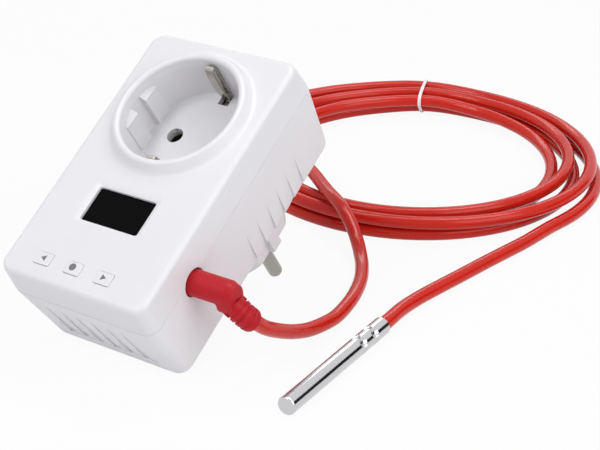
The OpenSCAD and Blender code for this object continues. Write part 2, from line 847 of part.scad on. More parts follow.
module tact_switches() {
    color("dimgray")
        placed()
            for (i = [0 : 2])
                translate([key_x(i), key_y, 0]) {
                    box_on([switch_side, switch_side, switch_top_z - control_z - board_t], [0, 0], control_z + board_t);
                    post(plunger_r, switch_top_z, switch_top_z + plunger_h);
                }
}

// Boards and what stands on them

module control_board() {
    color("green")
        placed()
            difference() {
                union() {
                    translate([-control_w / 2, control_side_y, control_z])
                        cube([control_w, control_top_y - control_side_y, board_t]);
                    translate([-control_neck_w / 2, control_bottom_y, control_z])
                        cube([control_neck_w, control_top_y - control_bottom_y, board_t]);
                }
                at_points(control_screws)
                    post(board_screw_hole_r, control_z - over, control_z + board_t + over);
                translate(link_at)
                    link_rows()
                        post(link_pin_w, control_z - over, control_z + board_t + over);
            }
}

module power_board() {
    color("green")
        placed()
            difference() {
                union() {
                    box_on([board_w, board_side_l, board_t], [0, 0], power_z - board_t);
                    box_on([board_neck_w, board_l, board_t], [0, 0], power_z - board_t);
                }
                at_points(power_screws)
                    post(board_screw_hole_r, power_z - board_t - over, power_z + over);
                for (side = [-1, 1])
                    translate([side * pin_pitch / 2, plug_y, 0])
                        post(tail_hole_r, power_z - board_t - over, power_z + over);
            }
}

module relay() {
    color("royalblue")
        placed()
            box_on(relay_size, on_board(relay_shares), power_z);
}

module supply_capacitor() {
    color("yellow")
        placed()
            box_on(capacitor_size, on_board(capacitor_shares), power_z);
}

module smoothing_capacitor() {
    color("black")
        placed()
            translate(on_board(smoother_shares))
                post(smoother_r, power_z, power_z + smoother_h);
}

module varistor() {
    color("deepskyblue")
        placed()
            translate(on_board(varistor_shares)) {
                translate([-varistor_t / 2, 0, power_z + lead_l + varistor_r])
                    rotate([0, 90, 0])
                        cylinder(r = varistor_r, h = varistor_t);
                for (side = [-1, 1])
                    translate([0, side * lead_spread, 0])
                        post(lead_r, power_z, power_z + lead_l + varistor_r);
            }
}

module fuse() {
    color("lightgray")
        placed()
            translate(on_board(fuse_shares))
                translate([0, -fuse_l / 2, power_z + fuse_lift])
                    rotate([-90, 0, 0]) {
                        post(fuse_r, 0, fuse_l);
                        post(fuse_cap_r, 0, fuse_cap_l);
                        post(fuse_cap_r, fuse_l - fuse_cap_l, fuse_l);
                    }
}

module fuse_clips() {
    color("silver")
        placed()
            translate(on_board(fuse_shares))
                for (end = [-1, 1])
                    translate([0, end * (fuse_l - fuse_cap_l) / 2 - clip_w / 2, power_z])
                        difference() {
                            translate([-fuse_cap_r - clip_t - air, 0, 0])
                                cube([2 * (fuse_cap_r + clip_t + air), clip_w, fuse_lift + fuse_cap_r / 2]);
                            translate([-fuse_cap_r - air, -over, clip_t])
                                cube([2 * (fuse_cap_r + air), clip_w + 2 * over, fuse_lift + fuse_cap_r]);
                        }
}

module link_rows() {
    for (i = [0 : link_pins - 1])
        translate([(i - (link_pins - 1) / 2) * link_pitch, 0, 0])
            children();
}

module board_link() {
    color("black")
        placed()
            translate(link_at) {
                link_rows()
                    box_on([link_pin_w, link_pin_w, control_z + board_t - power_z], [0, 0], power_z);
                box_on([link_pins * link_pitch, link_block_w, link_block_h], [0, 0], power_z);
            }
}

// Jack socket, jack plug and its contact

module along_x(x) {
    translate([x, jack_y, jack_z])
        rotate([0, 90, 0])
            children();
}

module jack_socket() {
    color("dimgray")
        placed()
            difference() {
                translate([jack_body_in_x, jack_y - jack_body_w / 2, jack_body_low_z])
                    cube([jack_body_out_x - jack_body_in_x, jack_body_w, jack_body_top_z - jack_body_low_z]);
                along_x(jack_body_in_x - over)
                    cylinder(r = jack_bore_r, h = jack_body_out_x - jack_body_in_x + 2 * over);
            }
}

module jack_plug() {
    color("red")
        placed()
            difference() {
                union() {
                    along_x(barrel_in_x)
                        cylinder(r = barrel_r, h = elbow_in_x - barrel_in_x + over);
                    along_x(barrel_lip_x)
                        cylinder(r = barrel_lip_r, h = elbow_in_x - barrel_lip_x + over);
                    along_x(elbow_in_x)
                        cylinder(r = elbow_r, h = elbow_out_x - elbow_in_x);
                    along_x(elbow_out_x - film)
                        cylinder(r = elbow_disc_r, h = elbow_disc_h);
                    translate([elbow_x, jack_y, 0])
                        strain_relief();
                }
                along_x(barrel_in_x - over)
                    cylinder(r = jack_bore_r, h = jack_pin_seat_l + over);
            }
}

module strain_relief() {
    post(relief_top_r, jack_z - relief_neck_l, jack_z);
    post(relief_core_r, jack_z - relief_l, jack_z);
    for (i = [0 : relief_rings - 1])
        translate([0, 0, jack_z - relief_neck_l - relief_groove_l - relief_ring_l
            - i * (relief_ring_l + relief_groove_l)])
            cylinder(r1 = relief_ring_r(i + 1), r2 = relief_ring_r(i), h = relief_ring_l);
}

function relief_ring_r(i) = relief_top_r - (relief_top_r - relief_end_r) * i / relief_rings;

module jack_contact() {
    color("gold")
        placed() {
            along_x(barrel_in_x - jack_pin_l)
                cylinder(r1 = jack_ring_r / 2, r2 = jack_pin_r, h = jack_ring_r);
            along_x(barrel_in_x - jack_pin_l + jack_ring_r)
                cylinder(r = jack_pin_r, h = jack_ring_l);
            along_x(barrel_in_x - jack_pin_l + jack_ring_r + jack_ring_l)
                cylinder(r = jack_ring_r, h = jack_ring_l);
            along_x(barrel_in_x - jack_pin_l + jack_ring_r + 2 * jack_ring_l)
                cylinder(r = jack_pin_r, h = jack_pin_l + jack_pin_seat_l - jack_ring_r - 2 * jack_ring_l);
        }
}

// Cord, tie and probe

module sensor_lead() {
    color("red")
        tube(lead_path, cord_r, tube_sides);
}

module cord_coil() {
    color("red")
        tube(coil_path, cord_r, coil_sides);
}

module probe_lead() {
    color("red")
        tube(probe_path, cord_r, tube_sides);
}

module tie_outline(grow) {
    low = tie_t - grow;
    high = tie_t + tie_low_air + layer_step + cord_d + tie_air + grow;
    near = coil_tie_r - coil_tie_depth - grow;
    far = coil_tie_r + cord_r + tie_air + grow;
    r = tie_corner_r + grow;
    hull()
        for (x = [near + r, far - r], z = [low + r, high - r])
            translate([x, z])
                circle(r = r, $fn = post_fn);
}

coil_tie_r = norm([coil_a * cos(tie_angle), coil_b * sin(tie_angle)]);
coil_tie_depth = coil_turns / 2 * norm([coil_pitch_a * cos(tie_angle), coil_pitch_b * sin(tie_angle)]) + cord_r + tie_air;

module cord_tie() {
    way = coil_yaw + atan2(coil_b * sin(tie_angle), coil_a * cos(tie_angle));
    color("white")
        translate([coil_centre[0], coil_centre[1], 0])
            rotate([90, 0, way])
                translate([0, 0, -tie_w / 2])
                    linear_extrude(tie_w)
                        difference() {
                            tie_outline(tie_t);
                            tie_outline(0);
                        }
}

module probe_sleeve() {
    r = probe_d / 2;
    color("silver")
        translate([probe_tip[0], probe_tip[1], r])
            rotate([0, 0, probe_turn])
                rotate([-90, 0, 0])
                    difference() {
                        union() {
                            cylinder(r1 = r - probe_end_r, r2 = r, h = probe_end_r);
                            post(r, probe_end_r, probe_l);
                        }
                        for (share = crimp_shares)
                            translate([0, 0, probe_l - share * probe_l - crimp_l])
                                difference() {
                                    post(r + over, 0, crimp_l);
                                    post(crimp_r, -over, crimp_l + over);
                                }
                    }
}

// Fasteners

module case_screws() {
    color("gray")
        placed()
            at_corners()
                difference() {
                    union() {
                        post(screw_head_r, tube_floor_z - screw_head_h, tube_floor_z);
                        post(screw_shank_r, tube_floor_z, screw_tip_z);
                    }
                    for (turn = [0, 90])
                        rotate([0, 0, turn])
                            translate([-slot_l / 2, -slot_w / 2, tube_floor_z - screw_head_h - over])
                                cube([slot_l, slot_w, slot_t + over]);
                }
}

module board_screws() {
    color("gray")
        placed() {
            at_points(power_screws) {
                post(board_screw_head_r, power_z, power_z + board_screw_head_h);
                post(board_screw_r, power_z - board_screw_l, power_z);
            }
            at_points(control_screws) {
                post(board_screw_head_r, control_z - board_screw_head_h, control_z);
                post(board_screw_r, control_z, control_z + board_screw_l);
            }
        }
}

front_shell();
rear_shell();
socket_insert();
earth_bracket();
socket_contact(-1);  // socket_contact_left
socket_contact(1);  // socket_contact_right
plug_base();
plug_pin(-1);  // plug_pin_left
plug_pin(1);  // plug_pin_right
plug_earth_clips();
display_window();
display_module();
key(0);  // key_left
key(1);  // key_set
key(2);  // key_right
tact_switches();
control_board();
power_board();
relay();
supply_capacitor();
smoothing_capacitor();
varistor();
fuse();
fuse_clips();
board_link();
jack_socket();
jack_plug();
jack_contact();
sensor_lead();
cord_coil();
probe_lead();
cord_tie();
probe_sleeve();
case_screws();
board_screws();
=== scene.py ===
import math

import bmesh
import bpy
from mathutils import Matrix, Vector


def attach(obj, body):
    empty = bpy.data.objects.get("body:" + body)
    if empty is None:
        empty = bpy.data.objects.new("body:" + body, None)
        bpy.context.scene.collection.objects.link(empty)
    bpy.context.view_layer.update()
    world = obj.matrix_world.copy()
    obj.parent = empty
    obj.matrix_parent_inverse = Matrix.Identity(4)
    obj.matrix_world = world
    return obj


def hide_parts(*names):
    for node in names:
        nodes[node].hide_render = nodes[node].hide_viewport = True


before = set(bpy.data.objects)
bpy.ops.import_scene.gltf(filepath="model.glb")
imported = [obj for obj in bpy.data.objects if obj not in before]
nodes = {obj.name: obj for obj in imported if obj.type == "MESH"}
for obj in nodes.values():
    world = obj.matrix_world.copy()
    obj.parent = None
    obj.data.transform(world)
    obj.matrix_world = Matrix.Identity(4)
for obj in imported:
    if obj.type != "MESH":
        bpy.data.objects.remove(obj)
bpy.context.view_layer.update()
scene = bpy.context.scene
mm = 0.001
past = 1  # how far a cutter or a joined piece runs past the surface, in mm

# How the housing lies: on its plug pin tips and the rear edge of its button end (mm)
rest = {
    "faceLength": 94, "faceSoft": 1.3, "rearLength": 92.4, "rearSoft": 1.2, "depth": 38,
    "plugY": 12.5, "plugHeight": 17, "pinLength": 19, "pinTipRadius": 1.6,
}


def housingPlace():
    run = rest["plugY"] - rest["pinTipRadius"] + rest["rearLength"] / 2 - rest["rearSoft"]
    tilt = math.atan2(rest["plugHeight"] + rest["pinLength"], run)
    footY, footZ = -rest["rearLength"] / 2 + rest["rearSoft"], -rest["depth"]
    turn = Matrix.Rotation(tilt, 4, "X") @ Matrix.Translation((0, -footY * mm, -footZ * mm))
    low = turn @ Vector((0, -rest["faceLength"] / 2 * mm, -rest["faceSoft"] * mm))
    high = turn @ Vector((0, rest["rearLength"] / 2 * mm, (rest["rearSoft"] - rest["depth"]) * mm))
    return Matrix.Translation((0, -(low.y + high.y) / 2, 0)) @ turn


place = housingPlace()


def lie(x, y, z):
    return place @ Vector((x * mm, y * mm, z * mm))


# Camera, at the photograph's place and with its lens
camera = {
    "at": (0.289154, -0.341401, 0.244929),
    "forward": (-0.52023, 0.73677, -0.43190),
    "up": (-0.23798, 0.36062, 0.90184),
    "lens": 95.345, "sensor": 36,
}


def makeCamera():
    data = bpy.data.cameras.new("camera")
    data.lens, data.sensor_width, data.sensor_fit = camera["lens"], camera["sensor"], "HORIZONTAL"
    data.clip_start, data.clip_end = 0.01, 20
    obj = bpy.data.objects.new("camera", data)
    scene.collection.objects.link(obj)
    back = -Vector(camera["forward"]).normalized()
    right = Vector(camera["up"]).cross(back).normalized()
    up = back.cross(right)
    turn = Matrix((right, up, back)).transposed().to_4x4()
    obj.matrix_world = Matrix.Translation(camera["at"]) @ turn
    scene.camera = obj


makeCamera()
print("camera ready")

# Mesh tools


def meshObject(name, points, faces, matrix=None):
    mesh = bpy.data.meshes.new(name)
    mesh.from_pydata([Vector(p) * mm for p in points], [], faces)
    shape = bmesh.new()
    shape.from_mesh(mesh)
    bmesh.ops.recalc_face_normals(shape, faces=shape.faces)
    shape.to_mesh(mesh)
    shape.free()
    obj = bpy.data.objects.new(name, mesh)
    scene.collection.objects.link(obj)
    if matrix is not None:
        obj.matrix_world = matrix
    return obj


def roundedRing(width, length, radius, z, steps=8, middle=(0, 0)):
    ring = []
    for sx, sy, start in ((1, 1, 0), (-1, 1, 90), (-1, -1, 180), (1, -1, 270)):
        for i in range(steps + 1):
            a = math.radians(start + 90 * i / steps)
            ring.append((
                middle[0] + sx * (width / 2 - radius) + radius * math.cos(a),
                middle[1] + sy * (length / 2 - radius) + radius * math.sin(a), z,
            ))
    return ring


def loft(name, rings, matrix=None, closed=False):
    count = len(rings[0])
    points = [p for ring in rings for p in ring]
    faces = []
    for r in range(len(rings) if closed else len(rings) - 1):
        low, high = r * count, (r + 1) % len(rings) * count
        for i in range(count):
            j = (i + 1) % count
            faces.append((low + i, low + j, high + j, high + i))
    if not closed:
        faces.append(tuple(reversed(range(count))))
        faces.append(tuple(range(len(points) - count, len(points))))
    return meshObject(name, points, faces, matrix)


def lathe(name, profile, steps=96, matrix=None):
    # Turns an outline of (radius, height) points about Z; its last point joins the first
    least = 0.001  # a point on the axis keeps this radius, so that its ring stays open
    rings = []
    for r, z in profile:
        r = max(r, least)
        rings.append([(r * math.cos(2 * math.pi * i / steps), r * math.sin(2 * math.pi * i / steps), z)
                      for i in range(steps)])
    return loft(name, rings, matrix, closed=True)


def arc(centre, radius, start, end, steps):
    return [(centre[0] + radius * math.cos(math.radians(start + (end - start) * i / steps)),
             centre[1] + radius * math.sin(math.radians(start + (end - start) * i / steps)))
            for i in range(steps + 1)]


def combine(obj, other, operation="DIFFERENCE"):
    modifier = obj.modifiers.new("cut", "BOOLEAN")
    modifier.object, modifier.operation, modifier.solver = other, operation, "EXACT"
    bpy.context.view_layer.update()
    mesh = bpy.data.meshes.new_from_object(obj.evaluated_get(bpy.context.evaluated_depsgraph_get()))
    obj.modifiers.clear()
    obj.data = mesh
    bpy.data.objects.remove(other)


def soften(obj, width=0, angle=30):
    obj.data.shade_smooth()
    obj.data.set_sharp_from_angle(angle=math.radians(angle))
    if width:
        modifier = obj.modifiers.new("edges", "BEVEL")
        modifier.width, modifier.segments, modifier.limit_method = width * mm, 2, "ANGLE"
        modifier.angle_limit, modifier.use_clamp_overlap = math.radians(angle), True
    obj.modifiers.new("normals", "WEIGHTED_NORMAL").keep_sharp = True


# Colours and materials


def hexColour(code):
    def linear(v):
        return v / 12.92 if v <= 0.04045 else ((v + 0.055) / 1.055) ** 2.4

    return tuple(linear(int(code[i:i + 2], 16) / 255) for i in (0, 2, 4)) + (1,)


def addNode(tree, kind, links=None, **settings):
    node = tree.nodes.new(kind)
    inputs = settings.pop("inputs", {})
    for key, value in settings.items():
        setattr(node, key, value)
    for key, value in inputs.items():
        node.inputs[key].default_value = value
    for key, source in (links or {}).items():
        tree.links.new(source, node.inputs[key])
    return node


def startMaterial(name, **sockets):
    material = bpy.data.materials.new(name)
    material.use_nodes = True
    shader = material.node_tree.nodes["Principled BSDF"]
    for key, value in sockets.items():
        shader.inputs[key.replace("_", " ")].default_value = value
    return material, material.node_tree, shader


def makeFinish(name, colour, rough, flow, relief=None, shade=None, depth=0.008, **sockets):
    # flow and relief are patterns: size in mm, detail and stretch. The flow runs the roughness from
    # its lowest to its highest and the colour from the shade, and the relief is depth mm high.
    material, tree, shader = startMaterial(name, Base_Color=hexColour(colour), **sockets)
    spot = addNode(tree, "ShaderNodeTexCoord")

    def pattern(size, detail=3, stretch=(1, 1, 1)):
        mapping = addNode(tree, "ShaderNodeMapping", {"Vector": spot.outputs["Object"]},
                          inputs={"Scale": stretch})
        return addNode(tree, "ShaderNodeTexNoise", {"Vector": mapping.outputs["Vector"]},
                       inputs={"Scale": 1000 / size, "Detail": detail}).outputs["Fac"]

    slow = pattern(*flow)
    if shade:
        mix = addNode(tree, "ShaderNodeMix", {"Factor": slow}, data_type="RGBA",
                      inputs={"A": hexColour(shade), "B": hexColour(colour)})
        tree.links.new(mix.outputs["Result"], shader.inputs["Base Color"])
    sheen = addNode(tree, "ShaderNodeMapRange", {"Value": slow},
                    inputs={"From Min": 0.3, "From Max": 0.7, "To Min": rough[0], "To Max": rough[1]})
    tree.links.new(sheen.outputs["Result"], shader.inputs["Roughness"])
    bump = addNode(tree, "ShaderNodeBump", {"Height": pattern(*relief) if relief else slow},
                   inputs={"Distance": depth * mm})
    tree.links.new(bump.outputs["Normal"], shader.inputs["Normal"])
    return material


def workedMetal(name, colour, rough, line=0.5, stretch=(1, 1, 0.1), depth=0.002):
    # Fine lines along the way the metal was worked, drawn 0.5 mm wide or more so that they show
    return makeFinish(name, colour, rough, (line, 2, stretch), depth=depth, Metallic=1)


def plainPart(name, colour, shade, rough, size=3, **sockets):
    # One colour with a slight mottle
    return makeFinish(name, colour, (rough - 0.05, rough + 0.05), (size,), shade=shade, **sockets)


def maskedBoard():
    # Glass fibre board, coated with solder mask: green gloss over copper tracks 6 mm apart
    material, tree, shader = startMaterial("maskedBoard", Roughness=0.3, IOR=1.5)
    spot = addNode(tree, "ShaderNodeTexCoord")
    tracks = addNode(tree, "ShaderNodeTexBrick", {"Vector": spot.outputs["Object"]},
                     inputs={"Scale": 1000 / 6, "Mortar Size": 0.08, "Color1": hexColour("0E5A33"),
                             "Color2": hexColour("115F38"), "Mortar": hexColour("2C7A4A")})
    tree.links.new(tracks.outputs["Color"], shader.inputs["Base Color"])
    bump = addNode(tree, "ShaderNodeBump", {"Height": tracks.outputs["Fac"]},
                   inputs={"Distance": 0.03 * mm})
    tree.links.new(bump.outputs["Normal"], shader.inputs["Normal"])
    return material


# ABS, injection moulded in a finely eroded mould: an even satin sheen, cool white. The eroded grit is
# 0.05 mm, drawn at 0.35 mm so that it shows. The socket's moulding is a little warmer and glossier.
whiteAbs = makeFinish("mouldedAbs", "EAEAED", (0.34, 0.44), (22,), (0.35, 2), "E5E5E9", 0.004, IOR=1.54)
socketAbs = makeFinish("socketAbs", "E7E6E8", (0.3, 0.4), (22,), (0.35, 2), "E2E1E4", 0.004, IOR=1.54)
# Silicone rubber, extruded in slow 4 mm waves: a waxy gloss, and a colour that stays deep in the shade
silicone = makeFinish("extrudedSilicone", "D22717", (0.12, 0.2), (9,), (4, 1), "C51E11", 0.003,
                      IOR=1.43, Specular_IOR_Level=0.32)
# PVC, moulded round the jack: darker red than the cord and duller, its 0.1 mm grain drawn at 0.4 mm
jackPvc = makeFinish("mouldedPvc", "C0222C", (0.36, 0.48), (6,), (0.4, 2), "B21A24", 0.005,
                     IOR=1.53, Specular_IOR_Level=0.14)
turnedNickel = workedMetal("turnedNickel", "9C9A92", (0.2, 0.32))  # turned and plated: warm grey pins
nickelPlate = workedMetal("nickelPlate", "B2AEA6", (0.18, 0.3))  # rolled and plated: brighter strip
polishedSteel = workedMetal("polishedSteel", "CACACC", (0.1, 0.16), 0.8, (1, 1, 0.03), 0.00003)  # mirror
paintedShadeBronze = workedMetal("bronzePaintedShade", "3A2E1E", (0.5, 0.65))  # rolled and dull; its near black colour is painted shade for the inside of the contact holes
bareBrass = workedMetal("bareBrass", "D8B25C", (0.25, 0.4))  # turned: yellow with a soft shine
tinPlate = workedMetal("tinPlate", "CFCFCB", (0.25, 0.4), 0.6, (1, 0.2, 1))  # pressed: pale clips
zincScrew = workedMetal("zincScrew", "B9BBBE", (0.3, 0.45), 0.5, (1, 1, 0.2))  # rolled and plated: bluish
# Glass, tinted and polished: near black, with hardly a reflection, as behind a filter
blackGlass = plainPart("displayGlass", "0D0B0C", "0A090A", 0.12, 12, Specular_IOR_Level=0.03)
tieNylon = plainPart("mouldedNylon", "F2F2F2", "EAEAEA", 0.35, 2, IOR=1.53)  # moulded: milky white
boardMask = maskedBoard()
moduleFrame = plainPart("moduleFrame", "4A4A4E", "3E3E42", 0.45)  # moulded: grey frame
switchBlack = plainPart("switchBody", "1B1B1C", "151516", 0.4)  # moulded: black, half dull
relayPlastic = plainPart("relayPlastic", "2B4F9A", "264789", 0.35)  # moulded: blue case
filmCapacitor = plainPart("filmCapacitor", "E0B02A", "D6A51F", 0.3)  # dipped: yellow
sleevedCan = plainPart("sleevedCan", "20242C", "191C22", 0.3)  # shrunk film over a can: dark blue
epoxyDisc = plainPart("epoxyDisc", "2F6DB5", "2862A4", 0.2)  # dipped: blue gloss
fuseGlass = plainPart("fuseGlass", "D9DEDF", "CDD3D4", 0.12)  # drawn: pale gloss
inkGrey = plainPart("printedInk", "77736E", "6D6964", 0.5, 1)  # printed: dull grey marks

nodeFinish = {
    "front_shell": whiteAbs, "rear_shell": whiteAbs, "socket_insert": socketAbs,
    "earth_bracket": nickelPlate, "socket_contact_left": paintedShadeBronze, "socket_contact_right": paintedShadeBronze,
    "plug_base": whiteAbs, "plug_pin_left": turnedNickel, "plug_pin_right": turnedNickel,
    "plug_earth_clips": nickelPlate, "display_window": blackGlass, "display_module": moduleFrame,
    "key_left": whiteAbs, "key_set": whiteAbs, "key_right": whiteAbs, "tact_switches": switchBlack,
    "control_board": boardMask, "power_board": boardMask, "relay": relayPlastic,
    "supply_capacitor": filmCapacitor, "smoothing_capacitor": sleevedCan, "varistor": epoxyDisc,
    "fuse": fuseGlass, "fuse_clips": tinPlate, "board_link": switchBlack, "jack_socket": switchBlack,
    "jack_plug": jackPvc, "jack_contact": bareBrass, "sensor_lead": silicone, "cord_coil": silicone,
    "probe_lead": silicone, "cord_tie": tieNylon, "probe_sleeve": polishedSteel,
    "case_screws": zincScrew, "board_screws": zincScrew,
}
for name, material in nodeFinish.items():
    mesh = nodes[name].data
    mesh.materials.clear()
    mesh.materials.append(material)
print("materials ready")

# Housing: both halves as thin shells with soft edges (mm, in the housing's own frame)

housing = {
    "face": (55.5, 94), "middle": (56.3, 96), "rear": (52.4, 92.4), "partingDepth": 11, "depth": 38,
    "wall": 2, "corner": 4.5, "cornerLeast": 0.3, "cornerSteps": 10, "gap": 0.16,
    "faceSoft": 1.3, "faceRound": 1.7, "rearSoft": 1.2, "rearRound": 2,
    "frontEdge": [(0, 0.12), (0.08, 0.04), (0.2, 0)],  # height over the parting and inset
    "rearEdge": [(0.13, 0.3), (0, 0.3), (-0.08, 0.06), (-0.2, 0)],
    "frontRings": (-8, -5, -2.3), "rearRings": (-16, -22, -28, -35.7),
    "screws": (21.3, 40.3), "boss": 3.4, "bossTop": -1.9, "tube": 4.2, "tubeLow": -37, "tubeTop": -17,
    "bore": 3.1, "boreTop": -19, "plugHole": 18.6, "plugHoleTop": -30, "cutLow": -40,
}


def ringAt(z, inset=0):
    h = housing
    front = z > -h["partingDepth"]
    low, high = h["middle"], h["face"] if front else h["rear"]
    reach = h["partingDepth"] - h["faceSoft"] if front else h["depth"] - h["rearSoft"] - h["partingDepth"]
    share = min(1, abs(z + h["partingDepth"]) / reach)
    width, length = (a + (b - a) * share - 2 * inset for a, b in zip(low, high))
    return roundedRing(width, length, max(h["corner"] - inset, h["cornerLeast"]), z, h["cornerSteps"])


def quarter(count=8):
    # Rise and inset along a quarter round of radius 1
    turns = [math.pi / 2 * i / count for i in range(count + 1)]
    return [(math.sin(turn), 1 - math.cos(turn)) for turn in turns]


def block(size, at):
    # Box of a size whose centre is at a place
    w, d, h = (v / 2 for v in size)
    x, y, z = at
    return loft("block", [[(x - w, y - d, v), (x + w, y - d, v), (x + w, y + d, v), (x - w, y + d, v)]
                          for v in (z - h, z + h)])


def rod(radius, low, high, at=(0, 0), steps=48):
    return lathe("rod", [(0, low), (radius, low), (radius, high), (0, high)], steps,
                 Matrix.Translation((at[0] * mm, at[1] * mm, 0)))


alongX = Matrix.Rotation(math.pi / 2, 4, "Y")


def finishPiece(obj, material, body, slot, *covered):
    obj.data.materials.clear()
    obj.data.materials.append(material)
    obj.matrix_world = place @ obj.matrix_world
    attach(obj, body)
    if covered:
        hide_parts(*covered)


# What stands in the housing: the well with its guide ribs and the rim that runs out into the face, the
# display's opening, the keys, the jack socket and the louvre grooves of the sides and the button end
well = {
    "y": 19.7, "radius": 19.3, "floor": -14, "floorThick": 2, "floorRound": 0.5, "lip": -0.6,
    "cup": 20.9, "cupGap": 0.1, "flange": 23.2, "flangeLow": -3.6, "flangeTop": -2.02,
    "holeX": 9.5, "hole": 2.75, "sink": 0.8, "sinkTop": 1.6, "holeCut": (-25, -5), "boss": 4.6,
    "bossDepth": 2, "ribWidth": 6, "ribGap": 5, "ribDepth": 2.4, "ribRoot": 0.8, "ribShoulder": 0.4,
    "ribTop": -0.6, "ribSlope": 1.5, "slotWidth": 4, "slotIn": 14.9, "slotOut": 19.1, "slotCut": 8,
    "crest": 20.6, "crestRound": 1.3, "crestTurn": (180, 35), "rimHeight": 3.5, "cutLow": -4, "cutTop": 6,
    "foot": [(22.55, 1.35), (22.8, 0.9), (23.1, 0.5), (23.5, 0.2), (23.9, 0.03), (24.2, -0.03)],
}
display = {
    "at": (-0.9, -17.3), "size": (22, 12.3), "corner": 0.8, "opening": (-3, 0),
    "bevel": [(0, 0, -1.1), (3.8, 0.8, 0), (4.2, 0.9, 0.3)],  # how much wider and rounder, and height
}
keys = {
    "x": (-13.75, -2.1, 9.55), "y": -39.7, "size": (5.8, 4.1), "corner": 0.5, "proud": 0.3, "edge": 0.22,
    "gap": 0.15, "opening": (-3, 1), "lip": 0.7, "lipTop": -2.05, "lipThick": 0.8, "stem": 1.2,
    "stemEnd": -3.5, "stemInLip": 0.2,
    "arrow": [(1, 0), (-0.8, 1), (-0.8, -1)], "dot": 1.2, "markLift": (0.002, 0.022),
    "markShift": [(-0.05, 0.2), (-0.4, 0.3), (-0.15, 0.2)],
}
jack = {
    "y": -26.2, "z": -13.5, "hole": 4.45, "mouth": 4.8, "mouthIn": 27.7, "mouthOut": 28.2,
    "cut": (20, 30), "block": (11.4, 25.6), "blockWidth": 6.4, "blockLow": -16.2, "blockTop": -8.4,
    "bore": (5, 27),
}
louvre = {
    "count": 6, "reach": 4,
    "sidePitch": 6.05, "sideFirst": 28.4, "sideLength": 14, "sideDepth": 1.3, "sideRise": 1.2,
    "endPitch": 5.9, "endFirst": -17.1, "endLow": -32.4, "endLength": 14.7, "endDepth": 0.5,
    "endRise": 0.6, "endStart": 0.25,
}


def atWell():
    return Matrix.Translation((0, well["y"] * mm, 0))


def atJack():
    return Matrix.Translation((0, jack["y"] * mm, jack["z"] * mm)) @ alongX


def jackHole():
    # Cutter for the hole in both shells, with its widened mouth
    j = jack
    low, high = j["cut"]
    profile = [(0, low), (j["hole"], low), (j["hole"], j["mouthIn"]), (j["mouth"], j["mouthOut"]),
               (j["mouth"], high), (0, high)]
    return lathe("hole", profile, steps=64, matrix=atJack())


def screwSpots():
    x, y = housing["screws"]
    return [(sx * x, sy * y) for sx in (-1, 1) for sy in (-1, 1)]


def makeFrontShell():
    h, w, d, k = housing, well, display, keys
    r, top = h["faceRound"], h["gap"] / 2 - h["partingDepth"]
    rings = [ringAt(top + up, inset) for up, inset in h["frontEdge"]]
    rings += [ringAt(z) for z in h["frontRings"]]
    rings += [ringAt(-r + r * rise, r * inset) for rise, inset in quarter()]
    shell = loft("frontShell", rings)
    inner = [ringAt(-h["partingDepth"] - past, h["wall"]), ringAt(-h["wall"], h["wall"])]
    combine(shell, loft("inner", inner))
    cr = w["crestRound"]
    profile = [(w["radius"] - past, w["lip"]), (w["radius"] - past, w["rimHeight"] - cr)]
    profile += arc((w["crest"], w["rimHeight"] - cr), cr, *w["crestTurn"], 14)
    profile += w["foot"] + [(w["foot"][-1][0], w["lip"])]
    combine(shell, lathe("rim", profile, steps=160, matrix=atWell()), "UNION")
    middle = (0, w["y"])
    combine(shell, rod(w["radius"], w["cutLow"], w["cutTop"], middle, steps=160))
    combine(shell, rod(w["cup"] + w["cupGap"], w["cutLow"], w["lip"], middle, steps=96))
    wide, tall = d["size"]
    bevel = [roundedRing(wide + grow, tall + grow, d["corner"] + rounder, z, 4, d["at"])
             for grow, rounder, z in d["bevel"]]
    combine(shell, loft("bevel", bevel))
    opening = [roundedRing(wide, tall, d["corner"], z, 4, d["at"]) for z in d["opening"]]
    combine(shell, loft("opening", opening))
    wide, tall = (v + 2 * k["gap"] for v in k["size"])
    corner = k["corner"] + k["gap"]
    for x in k["x"]:
        opening = [roundedRing(wide, tall, corner, z, 4, (x, k["y"])) for z in k["opening"]]
        combine(shell, loft("opening", opening))
    combine(shell, jackHole())
    for spot in screwSpots():
        combine(shell, rod(h["boss"], h["tubeTop"], h["bossTop"], spot), "UNION")
    soften(shell, width=0.18, angle=35)
    finishPiece(shell, whiteAbs, "housing", "white_plastic", "front_shell")


def louvreCutter(length, lean, pitch, rise, matrix):
    outline = [(louvre["reach"], 0)]
    for i in range(louvre["count"]):
        outline += [(0, -i * pitch), (rise, -(i + 1) * pitch)]
    outline.append((louvre["reach"], -louvre["count"] * pitch))
    long = length / math.cos(lean)
    return loft("louvres", [[(x, y, z) for x, y in outline] for z in (-long, past)],
                matrix @ Matrix.Rotation(lean, 4, "Y"))


